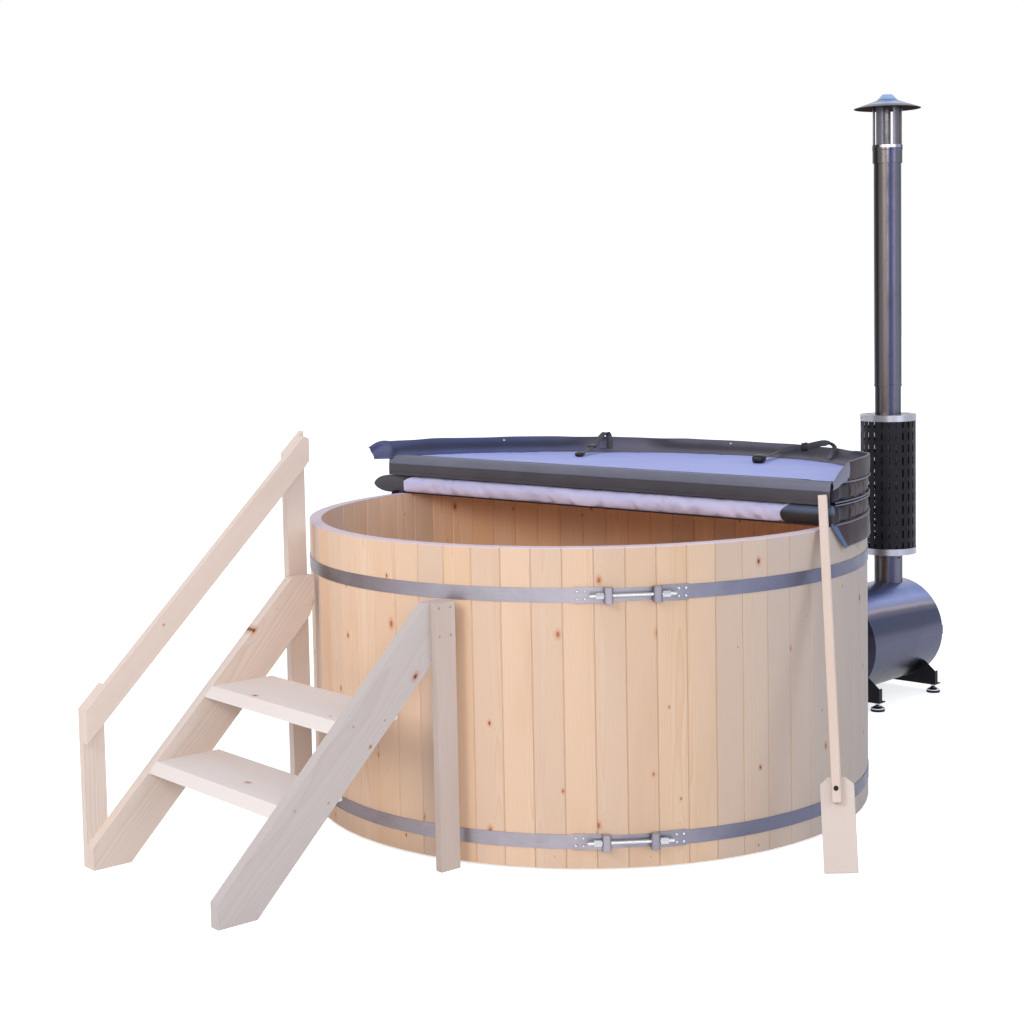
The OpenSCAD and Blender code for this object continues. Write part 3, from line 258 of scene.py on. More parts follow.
def grain(g, along, across, deep, board, tones, knots, painted_light, contrast=1.0, grey=0.0):
    """Sawn softwood: growth rings cut by the board's face, fibres, and knots that the rings bend around.
    board is a whole number, which chooses where in its log each board was cut. A function given last may paint light
    and shade on the colour at the end."""
    pale, late, brown, aged = (linear(*tone) for tone in tones)
    off_heart, slant, depth = g.random(board)
    tight, late_share, old_share = g.random(board + 37.0)
    shift = board * 7.31

    cells = g.vector(across * (1 / KNOT_CELL) + shift, along * (0.62 / KNOT_CELL), 0.0)
    spot = g.new("TexVoronoi", cells, voronoi_dimensions="2D", feature="F1")
    spot.inputs["Scale"].default_value = 1.0
    spot.inputs["Randomness"].default_value = 0.85
    far = g.value(spot, "Distance") * KNOT_CELL
    lot = g.parts(g.new("SeparateColor", g.value(spot, "Color")))
    radius = KNOT_RADIUS[0] + lot[1] * KNOT_RADIUS[1]
    size = g.step(lot[0], 1.0 - knots, 1.0) * radius
    near = g.math("DIVIDE", far, g.larger(size, 0.0001))
    bend = g.math("EXPONENT", g.math("POWER", near, 2.0) * -0.12) * (size * 2.2)

    wander = g.noise(g.vector(across * 6.0, along * 1.1, shift), 1.0, 2.0)
    sway = (wander - 0.5) * 0.016
    u = across + (off_heart - 0.5) * 0.10 + along * ((slant - 0.5) * 0.035)
    w = deep + (0.012 + depth * 0.075) + sway
    ring = g.math("SQRT", u * u + w * w)
    ring = ring - bend + sway * 0.25
    phase = g.math("FRACT", ring * (RINGS[0] + tight * RINGS[1]))
    late_wood = g.math("POWER", phase, 2.6) * g.step(phase, 1.0, 0.93)
    fibre = g.noise(g.vector(across * FIBRES, along * 9.0, deep * FIBRES), 1.0, 3.0, 0.6)
    cloud = g.noise(g.vector(across * 9.0, along * 1.6, shift), 1.0, 3.0)

    lines = late_wood * 0.55 + g.step(fibre, 0.35, 0.75) * 0.2
    tint = g.mix(lines * contrast, pale, late)
    tint = g.mix(g.step(cloud, 0.45, 0.75) * (0.35 * contrast), tint, late)
    tint = g.mix((late_share - 0.25) * (0.42 * contrast), tint, late)
    tint = g.mix(g.step(old_share + cloud * 0.3, 0.55, 1.1) * 0.5, tint, aged)
    if grey:
        tint = g.mix(grey, tint, aged)
    tint = g.mix(g.step(near, 2.6, 0.8) * 0.55, tint, KNOT_RING)
    tint = g.mix(g.step(near, 1.05, 0.6) * 0.75, tint, brown)
    dead = g.step(lot[2], 0.62, 0.7) * 0.75
    tint = g.mix(g.step(near, 0.8, 0.4) * dead, tint, KNOT_DEAD)
    tint = painted_light(tint) if painted_light else tint
    g.set(Base_Color=tint, Roughness=g.step(fibre, 0.2, 0.8, 0.52, 0.7), Specular_IOR_Level=0.3)
    proud = fibre * 0.5 + g.step(near, 1.3, 0.9) * 0.5
    g.bump(late_wood * 0.35 + proud, 0.0004, 0.8)
    return g.material


def stave_wood():
    """Upright staves: each one gets its own board, and the side towards the paddle has gone grey. Painted shade darkens
    the outside round to the right, and painted bounce light brightens the inside.
    """
    g = Graph("tub_wood_staves")
    azimuth, reach = g.azimuth(), g.reach()
    pitch = tau / STAVE_N
    place = g.math("DIVIDE", azimuth - radians(STAVE_PHASE), pitch)
    board = g.math("FLOOR", place)
    local = (place - board - 0.5) * (pitch * TUB_R)
    bore = TUB_R - STAVE_T
    right = g.toward(azimuth, -12.0)
    outside = g.step(reach, TUB_R - 0.006, TUB_R - 0.003)
    face = g.step(g.math("ABSOLUTE", local), 0.0465, 0.0452)
    weather = g.step(right, 0.45, 0.85) * 0.85 * (outside * face)
    inside = g.step(reach, bore + 0.006, bore + 0.002) * 0.8
    top = g.step(g.z, TUB_H - 0.0035, TUB_H - 0.0025) * 0.75

    def painted_light(tint):
        # painted light: the inside is painted lighter and more orange as bounce light towards azimuth 40, and a little
        # darker and bluer as painted shade on the other side
        far = g.step(g.toward(azimuth, 40.0), -0.75, 0.45)
        tint = g.mix(inside, tint, g.times(tint, g.mix(far, (0.92, 0.92, 1.0), (1.40, 1.26, 1.08))))
        # painted shade: the outside darkens round to the right
        painted_side_shade = g.ramp(right * 0.5 + 0.5, (
            (0.0, 1, 1, 1), (0.3, 0.98, 0.975, 0.97), (0.50, 0.95, 0.94, 0.93),
            (0.74, 0.90, 0.89, 0.87), (0.93, 0.88, 0.90, 0.92), (1.0, 0.78, 0.82, 0.86),
        ))
        tint = g.mix(outside, tint, g.times(tint, painted_side_shade))
        return g.mix(top, tint, linear(0.80, 0.745, 0.80))

    return grain(g, g.z, local, TUB_R - reach, board, SPRUCE, 0.62, painted_light, grey=weather)


def board_wood(name, place, tones, board, knots, contrast, near):
    """Boards whose grain runs along the local X of place; Y is the face's width and Z its depth. board is a number,
    or how many boards lie in a metre of Y and Z. near dims the side of positive Z with painted shade."""
    g = Graph(name, place)
    if isinstance(board, tuple):
        board = g.math("FLOOR", g.y * board[0] + g.z * board[1])

    def painted_light(tint):
        # painted shade on the near side
        return g.mix(g.step(g.z, 0.0, 0.1), tint, g.times(tint, near))

    return grain(g, g.x, g.y, g.z, board, tones, knots, painted_light if near else None, contrast)


# ---- metal, rubber and plastic
def metal(name, tint, rough, place, streak, depth=0.00004, stain=0.2, shaded_below=False):
    """Drawn or brushed metal: streaks along the direction where streak is smallest, and soft stains.
    tint is a colour, or makes one from the graph and a cloud of stains. A flag darkens what faces down with painted
    shade."""
    g = Graph(name, place)
    lines = g.noise(g.stretched(*streak), 10.0, 3.0, 0.6)
    cloud = g.noise(g.here, 7.0, 4.0, 0.6)
    colour = tint(g, cloud) if callable(tint) else linear(*tint)
    dark = g.times(colour, (0.62, 0.62, 0.62))
    tone = g.mix(g.step(cloud, 0.42, 0.72) * stain, colour, dark)
    tone = g.mix(g.step(lines, 0.45, 0.8) * 0.25, tone, dark)
    gloss = g.step(lines, 0.25, 0.75, rough - 0.06, rough + 0.08) + g.step(cloud, 0.4, 0.7) * 0.06
    g.set(Metallic=1.0)
    if shaded_below:
        normal = g.split(g.value(g.new("NewGeometry"), "Normal"))
        # painted shade: what faces down is darkened to brown and loses its metal shine
        shade_below = g.step(normal[2], 0.05, -0.15)
        tone = g.mix(shade_below, tone, linear(0.22, 0.17, 0.16))
        gloss = gloss + shade_below * 0.6
        g.set(Metallic=1.0 - shade_below, Specular_IOR_Level=0.05)
    g.set(Base_Color=tone, Roughness=gloss)
    g.bump(lines, depth, 0.6)
    return g.material


def around(g, cloud, sway):
    """The turn about the material's upright axis, from 0 to 1, swayed by a cloud."""
    return g.azimuth() * (1 / tau) + 0.5 + (cloud - 0.5) * sway


def flue_reflections(g, cloud):
    """Stainless pipe with painted reflections: upright bands of straw, mauve and blue, light and dark."""
    return g.ramp(around(g, cloud, 0.012), (
        (0.0, 0.13, 0.12, 0.14), (0.10, 0.15, 0.14, 0.16), (0.125, 0.36, 0.33, 0.34),
        (0.165, 0.38, 0.36, 0.365), (0.19, 0.47, 0.43, 0.40), (0.215, 0.40, 0.38, 0.39),
        (0.24, 0.24, 0.25, 0.33), (0.285, 0.25, 0.26, 0.35), (0.31, 0.39, 0.355, 0.40),
        (0.345, 0.40, 0.41, 0.47), (0.38, 0.37, 0.38, 0.42), (0.41, 0.14, 0.13, 0.15),
        (0.49, 0.20, 0.18, 0.19), (0.56, 0.42, 0.40, 0.42), (0.66, 0.27, 0.27, 0.33),
        (0.74, 0.48, 0.46, 0.46), (0.84, 0.31, 0.31, 0.37), (0.93, 0.36, 0.34, 0.36),
    ))


def collar_tint(g, cloud):
    """The chimney's top collar, whose lip is bright where it faces the light."""
    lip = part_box("cap_collar")[1][2] - COLLAR_LIP
    bright = g.ramp(around(g, cloud, 0.02), (
        (0.0, 0.20, 0.19, 0.21), (0.13, 0.24, 0.23, 0.25), (0.16, 0.78, 0.77, 0.78),
        (0.27, 0.84, 0.84, 0.88), (0.33, 0.50, 0.52, 0.66), (0.37, 0.66, 0.68, 0.76),
        (0.40, 0.22, 0.21, 0.23), (0.6, 0.40, 0.39, 0.42), (0.8, 0.55, 0.54, 0.56),
    ))
    return g.mix(g.step(g.z, lip, lip + 0.002), flue_reflections(g, cloud), bright)


def shell_reflections(g, cloud):
    """Polished sheet round a lying barrel, its tone painted as reflections: pale and blue above, a bright highlight
    line, a dark band and grey below.
    """
    high = (g.z - STOVE_Z) * (0.5 / STOVE_R) + (0.5 + (cloud - 0.5) * 0.035)
    high = high + (g.x - 2.0) * 0.085
    return g.ramp(high, (
        (0.0, 0.18, 0.18, 0.21), (0.13, 0.20, 0.20, 0.24), (0.25, 0.265, 0.27, 0.34),
        (0.45, 0.32, 0.325, 0.40), (0.56, 0.33, 0.33, 0.41), (0.62, 0.25, 0.27, 0.36),
        (0.73, 0.25, 0.27, 0.38), (0.775, 0.40, 0.39, 0.46), (0.80, 0.62, 0.59, 0.64),
        (0.825, 0.52, 0.53, 0.68), (0.87, 0.55, 0.60, 0.80), (0.94, 0.43, 0.50, 0.71),
        (1.0, 0.57, 0.58, 0.70),
    ))


def cap_reflections(g, cloud):
    """Spun cap: a painted sky-blue reflection, with darker turned rings."""
    rings = g.ramp(g.reach() * (1 / CAP_R), (
        (0.0, 0.66, 0.76, 0.92), (0.30, 0.62, 0.74, 0.94), (0.38, 0.40, 0.42, 0.52),
        (0.46, 0.60, 0.68, 0.86), (0.58, 0.42, 0.42, 0.54), (0.66, 0.66, 0.80, 0.96),
        (0.80, 0.60, 0.68, 0.84), (0.90, 0.44, 0.42, 0.46), (1.0, 0.34, 0.31, 0.33),
    ))
    return g.mix(g.step(cloud, 0.5, 0.7) * 0.35, rings, linear(0.42, 0.43, 0.50))


def hoop_painted_light(g, cloud):
    """Galvanised band, its tone painted by azimuth as light, shade and reflection: bright towards the front, duller and
    bluer round to the right, brown-grey to the left.
    """
    azimuth = g.azimuth()
    right = g.step(g.toward(azimuth, -18.0), 0.25, 0.85)
    left = g.step(g.toward(azimuth, -165.0), 0.62, 0.95)
    tone = g.mix(right, linear(0.61, 0.59, 0.62), linear(0.385, 0.39, 0.465))
    return g.mix(left, tone, linear(0.50, 0.46, 0.47))


def moulded(name, tint, rough, grain_size=900.0, worn=0.12, shine=0.3):
    """Rubber, plastic or paint: a fine even grain, with dusty patches."""
    g = Graph(name)
    fine = g.noise(g.here, grain_size, 2.0)
    cloud = g.noise(g.here, 14.0, 4.0, 0.6)
    colour = linear(*tint)
    dusty = tuple(min(1.0, c * 1.5 + 0.03) for c in colour)
    tone = g.mix(g.step(cloud, 0.45, 0.75) * worn, colour, dusty)
    g.set(Base_Color=tone, Roughness=g.step(cloud, 0.3, 0.8, rough - 0.05, rough + 0.1), Specular_IOR_Level=shine)
    g.bump(fine, 0.00006, 0.5)
    return g.material


def paint(material, *nodes):
    for node in nodes:
        for slot in NODES[node].material_slots:
            slot.material = material


BOARDS = turn(STOVE_AZ)
RAIL = STEPS @ turn(-43.9, "Y") @ turn(90, "X")
STRINGER = STEPS @ turn(-45, "Y") @ turn(90, "X")
POST = STEPS @ turn(-90, "Y") @ turn(90, "X")
LEAN = turn(PADDLE_LEAN_AZ) @ turn(PADDLE_LEAN, "Y") @ turn(PADDLE_TURN) @ turn(-90, "Y")
WOODS = (  # node, the grain's axes, colours, boards, knots, contrast, the near side's painted shade
    ("floor_boards", BOARDS, SPRUCE, (8.0, 0.0), 0.4, 1.0, None),
    ("floor_joists", turn(STOVE_AZ + 90), SPRUCE, (3.0, 0.0), 0.4, 1.0, None),
    ("bench_slats", BOARDS, SPRUCE, (11.0, 0.0), 0.4, 1.0, None),
    ("bench_frames", BOARDS, SPRUCE, (11.0, 0.0), 0.4, 1.0, None),
    ("step_stringers", STRINGER, STEP_PINE, (0.0, 3.0), 0.42, 1.0, (0.74, 0.76, 0.80)),
    ("step_treads", STEPS @ turn(90), TREAD_PINE_LIT, (0.0, 4.0), 0.2, 1.0, None),
    ("step_posts", POST, STEP_PINE, (2.0, 3.0), 0.3, 1.0, (0.74, 0.74, 0.76)),
    ("handrail", RAIL, STEP_PINE, 3.0, 0.3, 1.0, None),
    ("paddle_handle", LEAN, PADDLE_PINE, 3.0, 0.3, 1.6, None),
    ("paddle_blade", LEAN, PADDLE_PINE, 9.0, 0.5, 1.6, None),
)


def dress_wood():
    paint(stave_wood(), "staves")
    for node, *facts in WOODS:
        paint(board_wood("wood_" + node, *facts), node)


METALS = (  # material, colour, roughness, place, streaks, stains, nodes
    ("hoop_steel_band", hoop_painted_light, 0.42, UPRIGHT, (2.0, 2.0, 90.0), 0.35,
     "hoop_upper hoop_lower bridge_straps end_loops"),
    ("hoop_steel_bright", (0.74, 0.75, 0.77), 0.28, UPRIGHT, (50.0, 50.0, 50.0), 0.2,
     "strap_rivets trunnions tension_rods tension_nuts"),
    ("stainless_fittings", (0.66, 0.68, 0.72), 0.3, STOVE, (4.0, 60.0, 60.0), 0.2,
     "wall_fittings wall_backnuts inlet_strainers water_pipes sleeve_clamps guard_screws"),
    ("stainless_shell", shell_reflections, 0.3, STOVE, (3.0, 70.0, 70.0), 0.15, "stove_shell stove_back stove_front"),
    ("stainless_door", (0.46, 0.48, 0.52), 0.38, STOVE, (60.0, 4.0, 60.0), 0.2,
     "door_latch latch_keeper air_damper door_hinge_pins stove_door"),
    ("flue_steel_pipe", flue_reflections, 0.3, FLUE, (60.0, 60.0, 1.5), 0.3, "flue_lower flue_upper flue_stub"),
    ("flue_steel_collar", collar_tint, 0.25, FLUE, (60.0, 60.0, 1.5), 0.1, "cap_collar"),
    ("flue_steel_legs", (0.40, 0.39, 0.42), 0.3, FLUE, (60.0, 60.0, 2.0), 0.5, "cap_legs"),
    ("foot_chrome_plate", (0.80, 0.81, 0.83), 0.18, UPRIGHT, (30.0, 30.0, 30.0), 0.1, "levelling_feet"),
    ("valve_brass_body", (0.78, 0.70, 0.45), 0.35, UPRIGHT, (30.0, 30.0, 30.0), 0.2, "drain_body"),
    ("stainless_ball", (0.75, 0.76, 0.78), 0.15, UPRIGHT, (20.0, 20.0, 20.0), 0.2, "drain_ball"),
    ("screw_steel_heads", (0.62, 0.58, 0.50), 0.35, UPRIGHT, (60.0, 60.0, 60.0), 0.2, "step_screws"),
    ("bolt_steel_dark", (0.17, 0.155, 0.15), 0.45, UPRIGHT, (60.0, 60.0, 60.0), 0.2, "paddle_bolt"),
)


def dress_metal():
    for name, tint, rough, place, streak, stain, nodes in METALS:
        paint(metal(name, tint, rough, place, streak, stain=stain), *nodes.split())
    ring = metal("flue_steel_rings", (0.62, 0.62, 0.66), 0.3, FLUE, (1.0, 1.0, 30.0), depth=0.00001)
    paint(ring, "guard_ring_lower", "guard_ring_upper")
    paint(metal("flue_steel_cap", cap_reflections, 0.3, FLUE, (20.0, 20.0, 20.0), shaded_below=True), "rain_cap")


def dress_moulded():
    paint(moulded("stove_dark_inner", (0.14, 0.13, 0.13), 0.7, worn=0.4), "firebox", "fire_grate")
    black = moulded("stove_dark_paint", (0.075, 0.072, 0.10), 0.45, 500.0, worn=0.15, shine=0.16)
    paint(black, "stove_saddles", "guard_tube")
    paint(moulded("black_rubber_grain", (0.09, 0.09, 0.10), 0.7), "foot_pads", "pipe_sleeves")
    paint(moulded("lever_red_paint", (0.62, 0.10, 0.08), 0.35), "drain_lever")


# ---- the cover's soft pieces
COVER_R = 1.0079  # outside of a pad's band
PAD_Z = 1.0205  # underside of an open half
PAD_FOLD = 0.074  # thickness at the fold
PAD_RIM = 0.060  # thickness at the rim
FOLD_HALF = 0.043  # from the fold's axis to a pad's straight face
FOLD_Z = 1.09537  # height of the fold's axis
SKIRT_H = 0.077
SEAM = 0.012  # how far a skirt runs in under the pad's rounded edge
SEAM_IN, SKIRT_IN = 0.0045, 0.0018  # how far inside the band the seam and the skirt's foot lie
POST_PHI = 30.9  # where the tall step post stands, mirrored into the folded half
POST_REACH = 1.0215  # the upper skirt's furthest reach there
PAD_SLOPE = atan((PAD_FOLD - PAD_RIM) / (COVER_R - FOLD_HALF))
PAD_DROP = tan(PAD_SLOPE)
PAD_SEGMENTS = 120  # of a pad's round edge
VOXEL = 0.0125  # of the pads' mesh before it is swelled
SWELL_FRAMES = 13
SKIRT_THICK = 0.0028
FOLDED = (
    COVER
    @ Matrix.Translation((0, 0, FOLD_Z))
    @ turn(180 + 2 * degrees(PAD_SLOPE), "Y")
    @ Matrix.Translation((0, 0, -FOLD_Z))
    @ Matrix.Diagonal((-1, 1, 1, 1))
)


def ease(value, low, high):
    t = min(1.0, max(0.0, (value - low) / (high - low)))
    return t * t * (3 - 2 * t)


def table(value, rows):
    """Goes smoothly through (value, number, number, ...) rows."""
    for a, b in zip(rows, rows[1:]):
        if value <= b[0]:
            t = ease(value, a[0], b[0])
            return [p + (q - p) * t for p, q in zip(a[1:], b[1:])]
    return list(rows[-1][1:])


def polar(r, angle, z):
    return Vector((r * cos(radians(angle)), r * sin(radians(angle)), z))


def new_object(name, points, faces, material=None):
    mesh = bpy.data.meshes.new(name)
    mesh.from_pydata([tuple(p) for p in points], [], faces)
    mesh.validate()
    obj = bpy.data.objects.new(name, mesh)
    bpy.context.collection.objects.link(obj)
    mesh.shade_smooth()
    if material:
        mesh.materials.append(material)
    return obj


def bake(obj):
    """Turns the modifiers' result into the object's own mesh."""
    bpy.context.view_layer.update()
    made = bpy.data.meshes.new_from_object(obj.evaluated_get(bpy.context.evaluated_depsgraph_get()))
    obj.modifiers.clear()
    obj.data = made
    made.shade_smooth()


def piece(obj, body, node):
    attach(obj, body)
    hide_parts(node)


def tube(name, points, n, material):
    """A closed tube through rings of n points each."""
    last = len(points) - n
    faces = [(i + j, i + (j + 1) % n, i + n + (j + 1) % n, i + n + j) for i in range(0, last, n) for j in range(n)]
    faces += [tuple(range(n))[::-1], tuple(range(last, len(points)))]
    return new_object(name, points, faces, material)


def sweep(name, path, across, up, section, material):
    """Carries a section, given in (across, up) units, along a path with a direction pair at each point."""
    points = [p + a * s[0] + u * s[1] for p, a, u in zip(path, across, up) for s in section]
    return tube(name, points, len(section), material)


def rounded(obj):
    obj.modifiers.new("round", "SUBSURF").render_levels = 1
    bake(obj)


def heading(path, k):
    """The path's direction at its point k."""
    return (path[min(k + 1, len(path) - 1)] - path[max(k - 1, 0)]).normalized()


def spread(path, steps):
    """A smooth path through the given points."""
    ends = [path[0] * 2 - path[1], *path, path[-1] * 2 - path[-2]]
    out = []
    for a, b, c, d in zip(ends, ends[1:], ends[2:], ends[3:]):
        for k in range(steps):
            t = k / steps
            start = 2 * b + (c - a) * t
            out.append(0.5 * (start + (2 * a - 5 * b + 4 * c - d) * t * t + (3 * b - a - 3 * c + d) * t**3))
    return out + [path[-1]]


def piping(name, path, radius, material):
    section = [(radius * cos(tau * k / 10), radius * sin(tau * k / 10)) for k in range(10)]
    across, up = [], []
    for k in range(len(path)):
        along = heading(path, k)
        across.append(along.cross(Vector((0.05, 0.03, 1.0))).normalized())
        up.append(across[-1].cross(along))
    return sweep(name, path, across, up, section, material)


def ribbon(name, path, wide, width, thick, material):
    """A flat strap along a path; wide is the direction of its width at each point."""
    half, t = width / 2, thick / 2
    lower = [(-half, -t * 0.4), (-half + t, -t), (half - t, -t), (half, -t * 0.4)]
    upper = [(half, t * 0.4), (half - t, t), (-half + t, t), (-half, t * 0.4)]
    across, up = [], []
    for k, w in enumerate(wide):
        along = heading(path, k)
        across.append((w - along * w.dot(along)).normalized())
        up.append(along.cross(across[-1]))
    return sweep(name, path, across, up, lower + upper, material)


def sheet_of(name, rows, thick, materials, pick=None):
    """A sheet of vinyl through rows of points, with its thickness; pick(point) chooses the material of a face."""
    wide = len(rows[0])
    faces = [
        (i * wide + j, i * wide + j + 1, (i + 1) * wide + j + 1, (i + 1) * wide + j)
        for i in range(len(rows) - 1)
        for j in range(wide - 1)
    ]
    obj = new_object(name, [p for row in rows for p in row], faces)
    for material in materials:
        obj.data.materials.append(material)
    if pick:
        for face in obj.data.polygons:
            face.material_index = pick(face.center)
    back = 0 if pick else len(materials) - 1
    solid = obj.modifiers.new("thickness", "SOLIDIFY")
    settle(solid, thickness=thick, offset=0, material_offset=back, material_offset_rim=back)
    rounded(obj)
    return obj


def pad_form():
    """One half's foam pad in its open place, its fabric puffed by a cloth simulation over the held foam."""
    inset = 0.0035  # room for the swelling
    front = FOLD_HALF + inset
    outline = []
    for k in range(PAD_SEGMENTS + 1):
        at = polar(COVER_R - inset, -87.6 + 175.2 * k / PAD_SEGMENTS, 0)
        outline.append((max(front, at.x), at.y))
    far, near = outline[-1][1], outline[0][1]
    outline += [(front, far + (near - far) * k / 100) for k in range(1, 100)]
    n = len(outline)
    low = [(x, y, PAD_Z + inset) for x, y in outline]
    high = [(x, y, PAD_Z + PAD_FOLD - inset - (x - FOLD_HALF) * PAD_DROP) for x, y in outline]
    sides = [(k, (k + 1) % n, n + (k + 1) % n, n + k) for k in range(n)]
    obj = new_object("pad_form", low + high, [tuple(range(n))[::-1], tuple(range(n, 2 * n))] + sides)
    settle(obj.modifiers.new("remesh", "REMESH"), mode="VOXEL", voxel_size=VOXEL)
    settle(obj.modifiers.new("smooth", "SMOOTH"), factor=0.5, iterations=4)
    bake(obj)
    swell(obj, 0.0065, 0.10)
    for v in obj.data.vertices:
        v.co = finish_pad(v.co)
    rounded(obj)
    return obj


def swell(obj, cap, free):
    """Blows the skin up a little where it isn't glued to the foam, which is nearer to an edge than free."""
    start = [v.co.copy() for v in obj.data.vertices]
    held = obj.vertex_groups.new(name="held")
    for v in obj.data.vertices:
        edge = min(COVER_R - hypot(v.co.x, v.co.y), v.co.x - FOLD_HALF)
        held.add([v.index], ease(edge, free * 0.4, free), "REPLACE")
    cloth = obj.modifiers.new("cloth", "CLOTH")
    settle(
        cloth.settings, quality=3, mass=0.25, tension_stiffness=12, compression_stiffness=12, shear_stiffness=4,
        bending_stiffness=0.15, use_pressure=True, uniform_pressure_force=4.0, shrink_min=-0.03,
        vertex_group_mass="held",
    )
    cloth.settings.effector_weights.gravity = 0.0
    cloth.collision_settings.use_collision = False
    for number in range(1, SWELL_FRAMES + 1):
        bpy.context.scene.frame_set(number)
    bake(obj)
    bpy.context.scene.frame_set(1)
    for v, p in zip(obj.data.vertices, start):
        move = v.co - p
        most = cap if p.x < FOLD_HALF + 0.05 else cap * 0.3  # the band round the rim is stiffer
        if move.length > most:
            v.co = p + move * (most / move.length)


def finish_pad(p):
    """Creases along the fold face and the band, then the planes that the pad lies between."""
    r = hypot(p.x, p.y)
    broad = noise.noise(Vector((p.x * 9, p.y * 7, p.z * 26)))
    fine = noise.noise(Vector((p.y * 17, p.x * 17, p.z * 9)))
    crease = broad * 0.0035 + fine * 0.0015
    if p.x < FOLD_HALF + 0.02:
        p.x = max(FOLD_HALF - 0.004, p.x + crease)
    elif r > COVER_R - 0.02:
        grow = 1 + crease * 0.28 / r
        p.x, p.y = p.x * grow, p.y * grow
    elif p.z < PAD_Z + 0.012:
        p.z += abs(crease) * 0.5
    top = PAD_Z + PAD_FOLD - 0.0006 - (p.x - FOLD_HALF) * PAD_DROP
    return Vector((p.x, p.y, min(max(p.z, PAD_Z + 0.0003), top)))


def pad_skin(name, place, lower):
    """Lilac coated cloth below and on the fold face, dark vinyl above, on the band and round the corners."""
    g = Graph(name, place)
    band = g.step(g.reach(), COVER_R - 0.013, COVER_R - 0.0125)
    under = PAD_Z + PAD_FOLD - 0.006 - (g.x - FOLD_HALF) * PAD_DROP
    above = g.step(g.z - under, 0.0, 0.0005)
    if lower:
        middle = g.math("ABSOLUTE", (g.z - (PAD_Z + 0.029)) * (1 / 0.034))
        bow = g.math("POWER", middle, 2.2) * 0.05
        left = g.step(g.y + bow, 0.994, 0.9945)
        corner = g.larger(left, g.step(g.y * -1.0 - bow * 0.55, 0.800, 0.8005))
        # one lilac in two copies: the lower half's front face is painted lighter than the upper half's top, as painted
        # light
        lilac = cloth_tone(g, (0.795, 0.785, 0.915), (0.755, 0.755, 0.905))
    else:
        left = g.step(g.y - g.x * 1.3, 0.86, 0.8605)
        corner = g.larger(left, g.step(g.y + g.x * 0.55, -0.90, -0.9005))
        lilac = cloth_tone(g, (0.655, 0.68, 0.875), (0.62, 0.65, 0.865))
    mask = g.larger(g.larger(band, above), corner)
    skin, gloss = vinyl_tone(g, (0.165, 0.105, 0.14))
    end = g.step(g.x, 0.168, 0.165) * g.step(g.y, -0.5, -0.51)
    skin = g.mix(band * end, skin, g.times(skin, (0.42, 0.62, 0.75)))
    if lower:  # painted warm bounce light low on the face where it bulges down, a painted highlight on the end's vinyl, and painted blue light caught by the puffed end
        uneven = g.noise(g.stretched(9.0, 3.0, 30.0), 1.0, 2.0)
        low = g.z + (uneven - 0.5) * 0.016
        lilac = g.mix(g.step(low, PAD_Z + 0.054, PAD_Z + 0.014) * 0.6, lilac, linear(0.87, 0.80, 0.86))
        face = g.step(g.x, FOLD_HALF + 0.02, FOLD_HALF + 0.012)
        blue = face * g.step(g.z + g.y * -0.012, PAD_Z + 0.044, PAD_Z + 0.066)
        skin = g.mix(face * 0.6, skin, linear(0.235, 0.225, 0.215))
        skin = g.mix(blue * 0.8, skin, linear(0.37, 0.42, 0.52))
    gloss = g.mix(mask, (0.52, 0.52, 0.52), gloss)
    g.set(Base_Color=g.mix(mask, lilac, skin), Roughness=gloss, Specular_IOR_Level=0.16)
    weave = g.noise(g.here, 1400.0, 2.0)
    soft = g.noise(g.here, 26.0, 3.0)
    g.bump(weave * 0.12 + soft, 0.003, 0.3)
    return g.material


def cloth_tone(g, pale, deep):
    cloud = g.noise(g.here, 5.0, 4.0, 0.6)
    thread = g.noise(g.stretched(900.0, 120.0, 900.0), 1.0, 2.0)
    tone = g.mix(g.step(cloud, 0.35, 0.7), linear(*pale), linear(*deep))
    return g.mix(g.step(thread, 0.4, 0.8) * 0.14, tone, linear(*deep))


def vinyl_tone(g, tint):
    """The colour and the roughness of dark leather-grained vinyl, dusty in soft patches."""
    colour = linear(*tint)
    dusty = tuple(c * 1.7 + 0.01 for c in colour)
    cloud = g.noise(g.here, 5.0, 4.0, 0.6)
    fine = g.noise(g.here, 420.0, 3.0, 0.6)
    tone = g.mix(g.step(cloud, 0.35, 0.8) * 0.35, colour, dusty)
    tone = g.mix(g.step(fine, 0.5, 0.8) * 0.25, tone, dusty)
    return tone, g.step(cloud + fine * 0.4, 0.45, 0.95, 0.40, 0.56)


def vinyl(name, tint, shine, lining=False):
    g = Graph(name, COVER)
    tone, gloss = vinyl_tone(g, tint)
    if lining:  # painted shade along its creased middle and painted light towards its edges, and bluer towards its left end
        away = g.math("ABSOLUTE", (g.reach() - 1.033) * (1 / 0.024))
        middle = away + g.noise(g.here, 6.0, 3.0) * 0.5
        crease_shade, painted_edge_light = g.times(tone, (0.42, 0.42, 0.46)), g.times(tone, (1.30, 1.30, 1.34))
        tone = g.mix(g.step(middle, 0.35, 1.25), crease_shade, painted_edge_light)
        tone = g.mix(g.step(g.y, 0.35, 1.0), tone, g.times(tone, (0.56, 0.76, 1.42)))
    g.set(Base_Color=tone, Roughness=gloss, Specular_IOR_Level=shine)
    pores = g.noise(g.here, 520.0, 3.0, 0.6)
    g.bump(pores + g.noise(g.here, 30.0, 3.0) * 1.5, 0.0016, 0.3)
    return g.material


def webbing(name, tint):
    """Woven strap: fine ribs across and along."""
    g = Graph(name)
    colour = linear(*tint)
    ribs = g.noise(g.here, 900.0, 2.0)
    tone = g.mix(g.step(ribs, 0.4, 0.65), colour, tuple(c * 1.9 + 0.01 for c in colour))
    g.set(Base_Color=tone, Roughness=g.step(ribs, 0.3, 0.7, 0.5, 0.7))
    g.bump(ribs, 0.0006, 0.6)
    return g.material


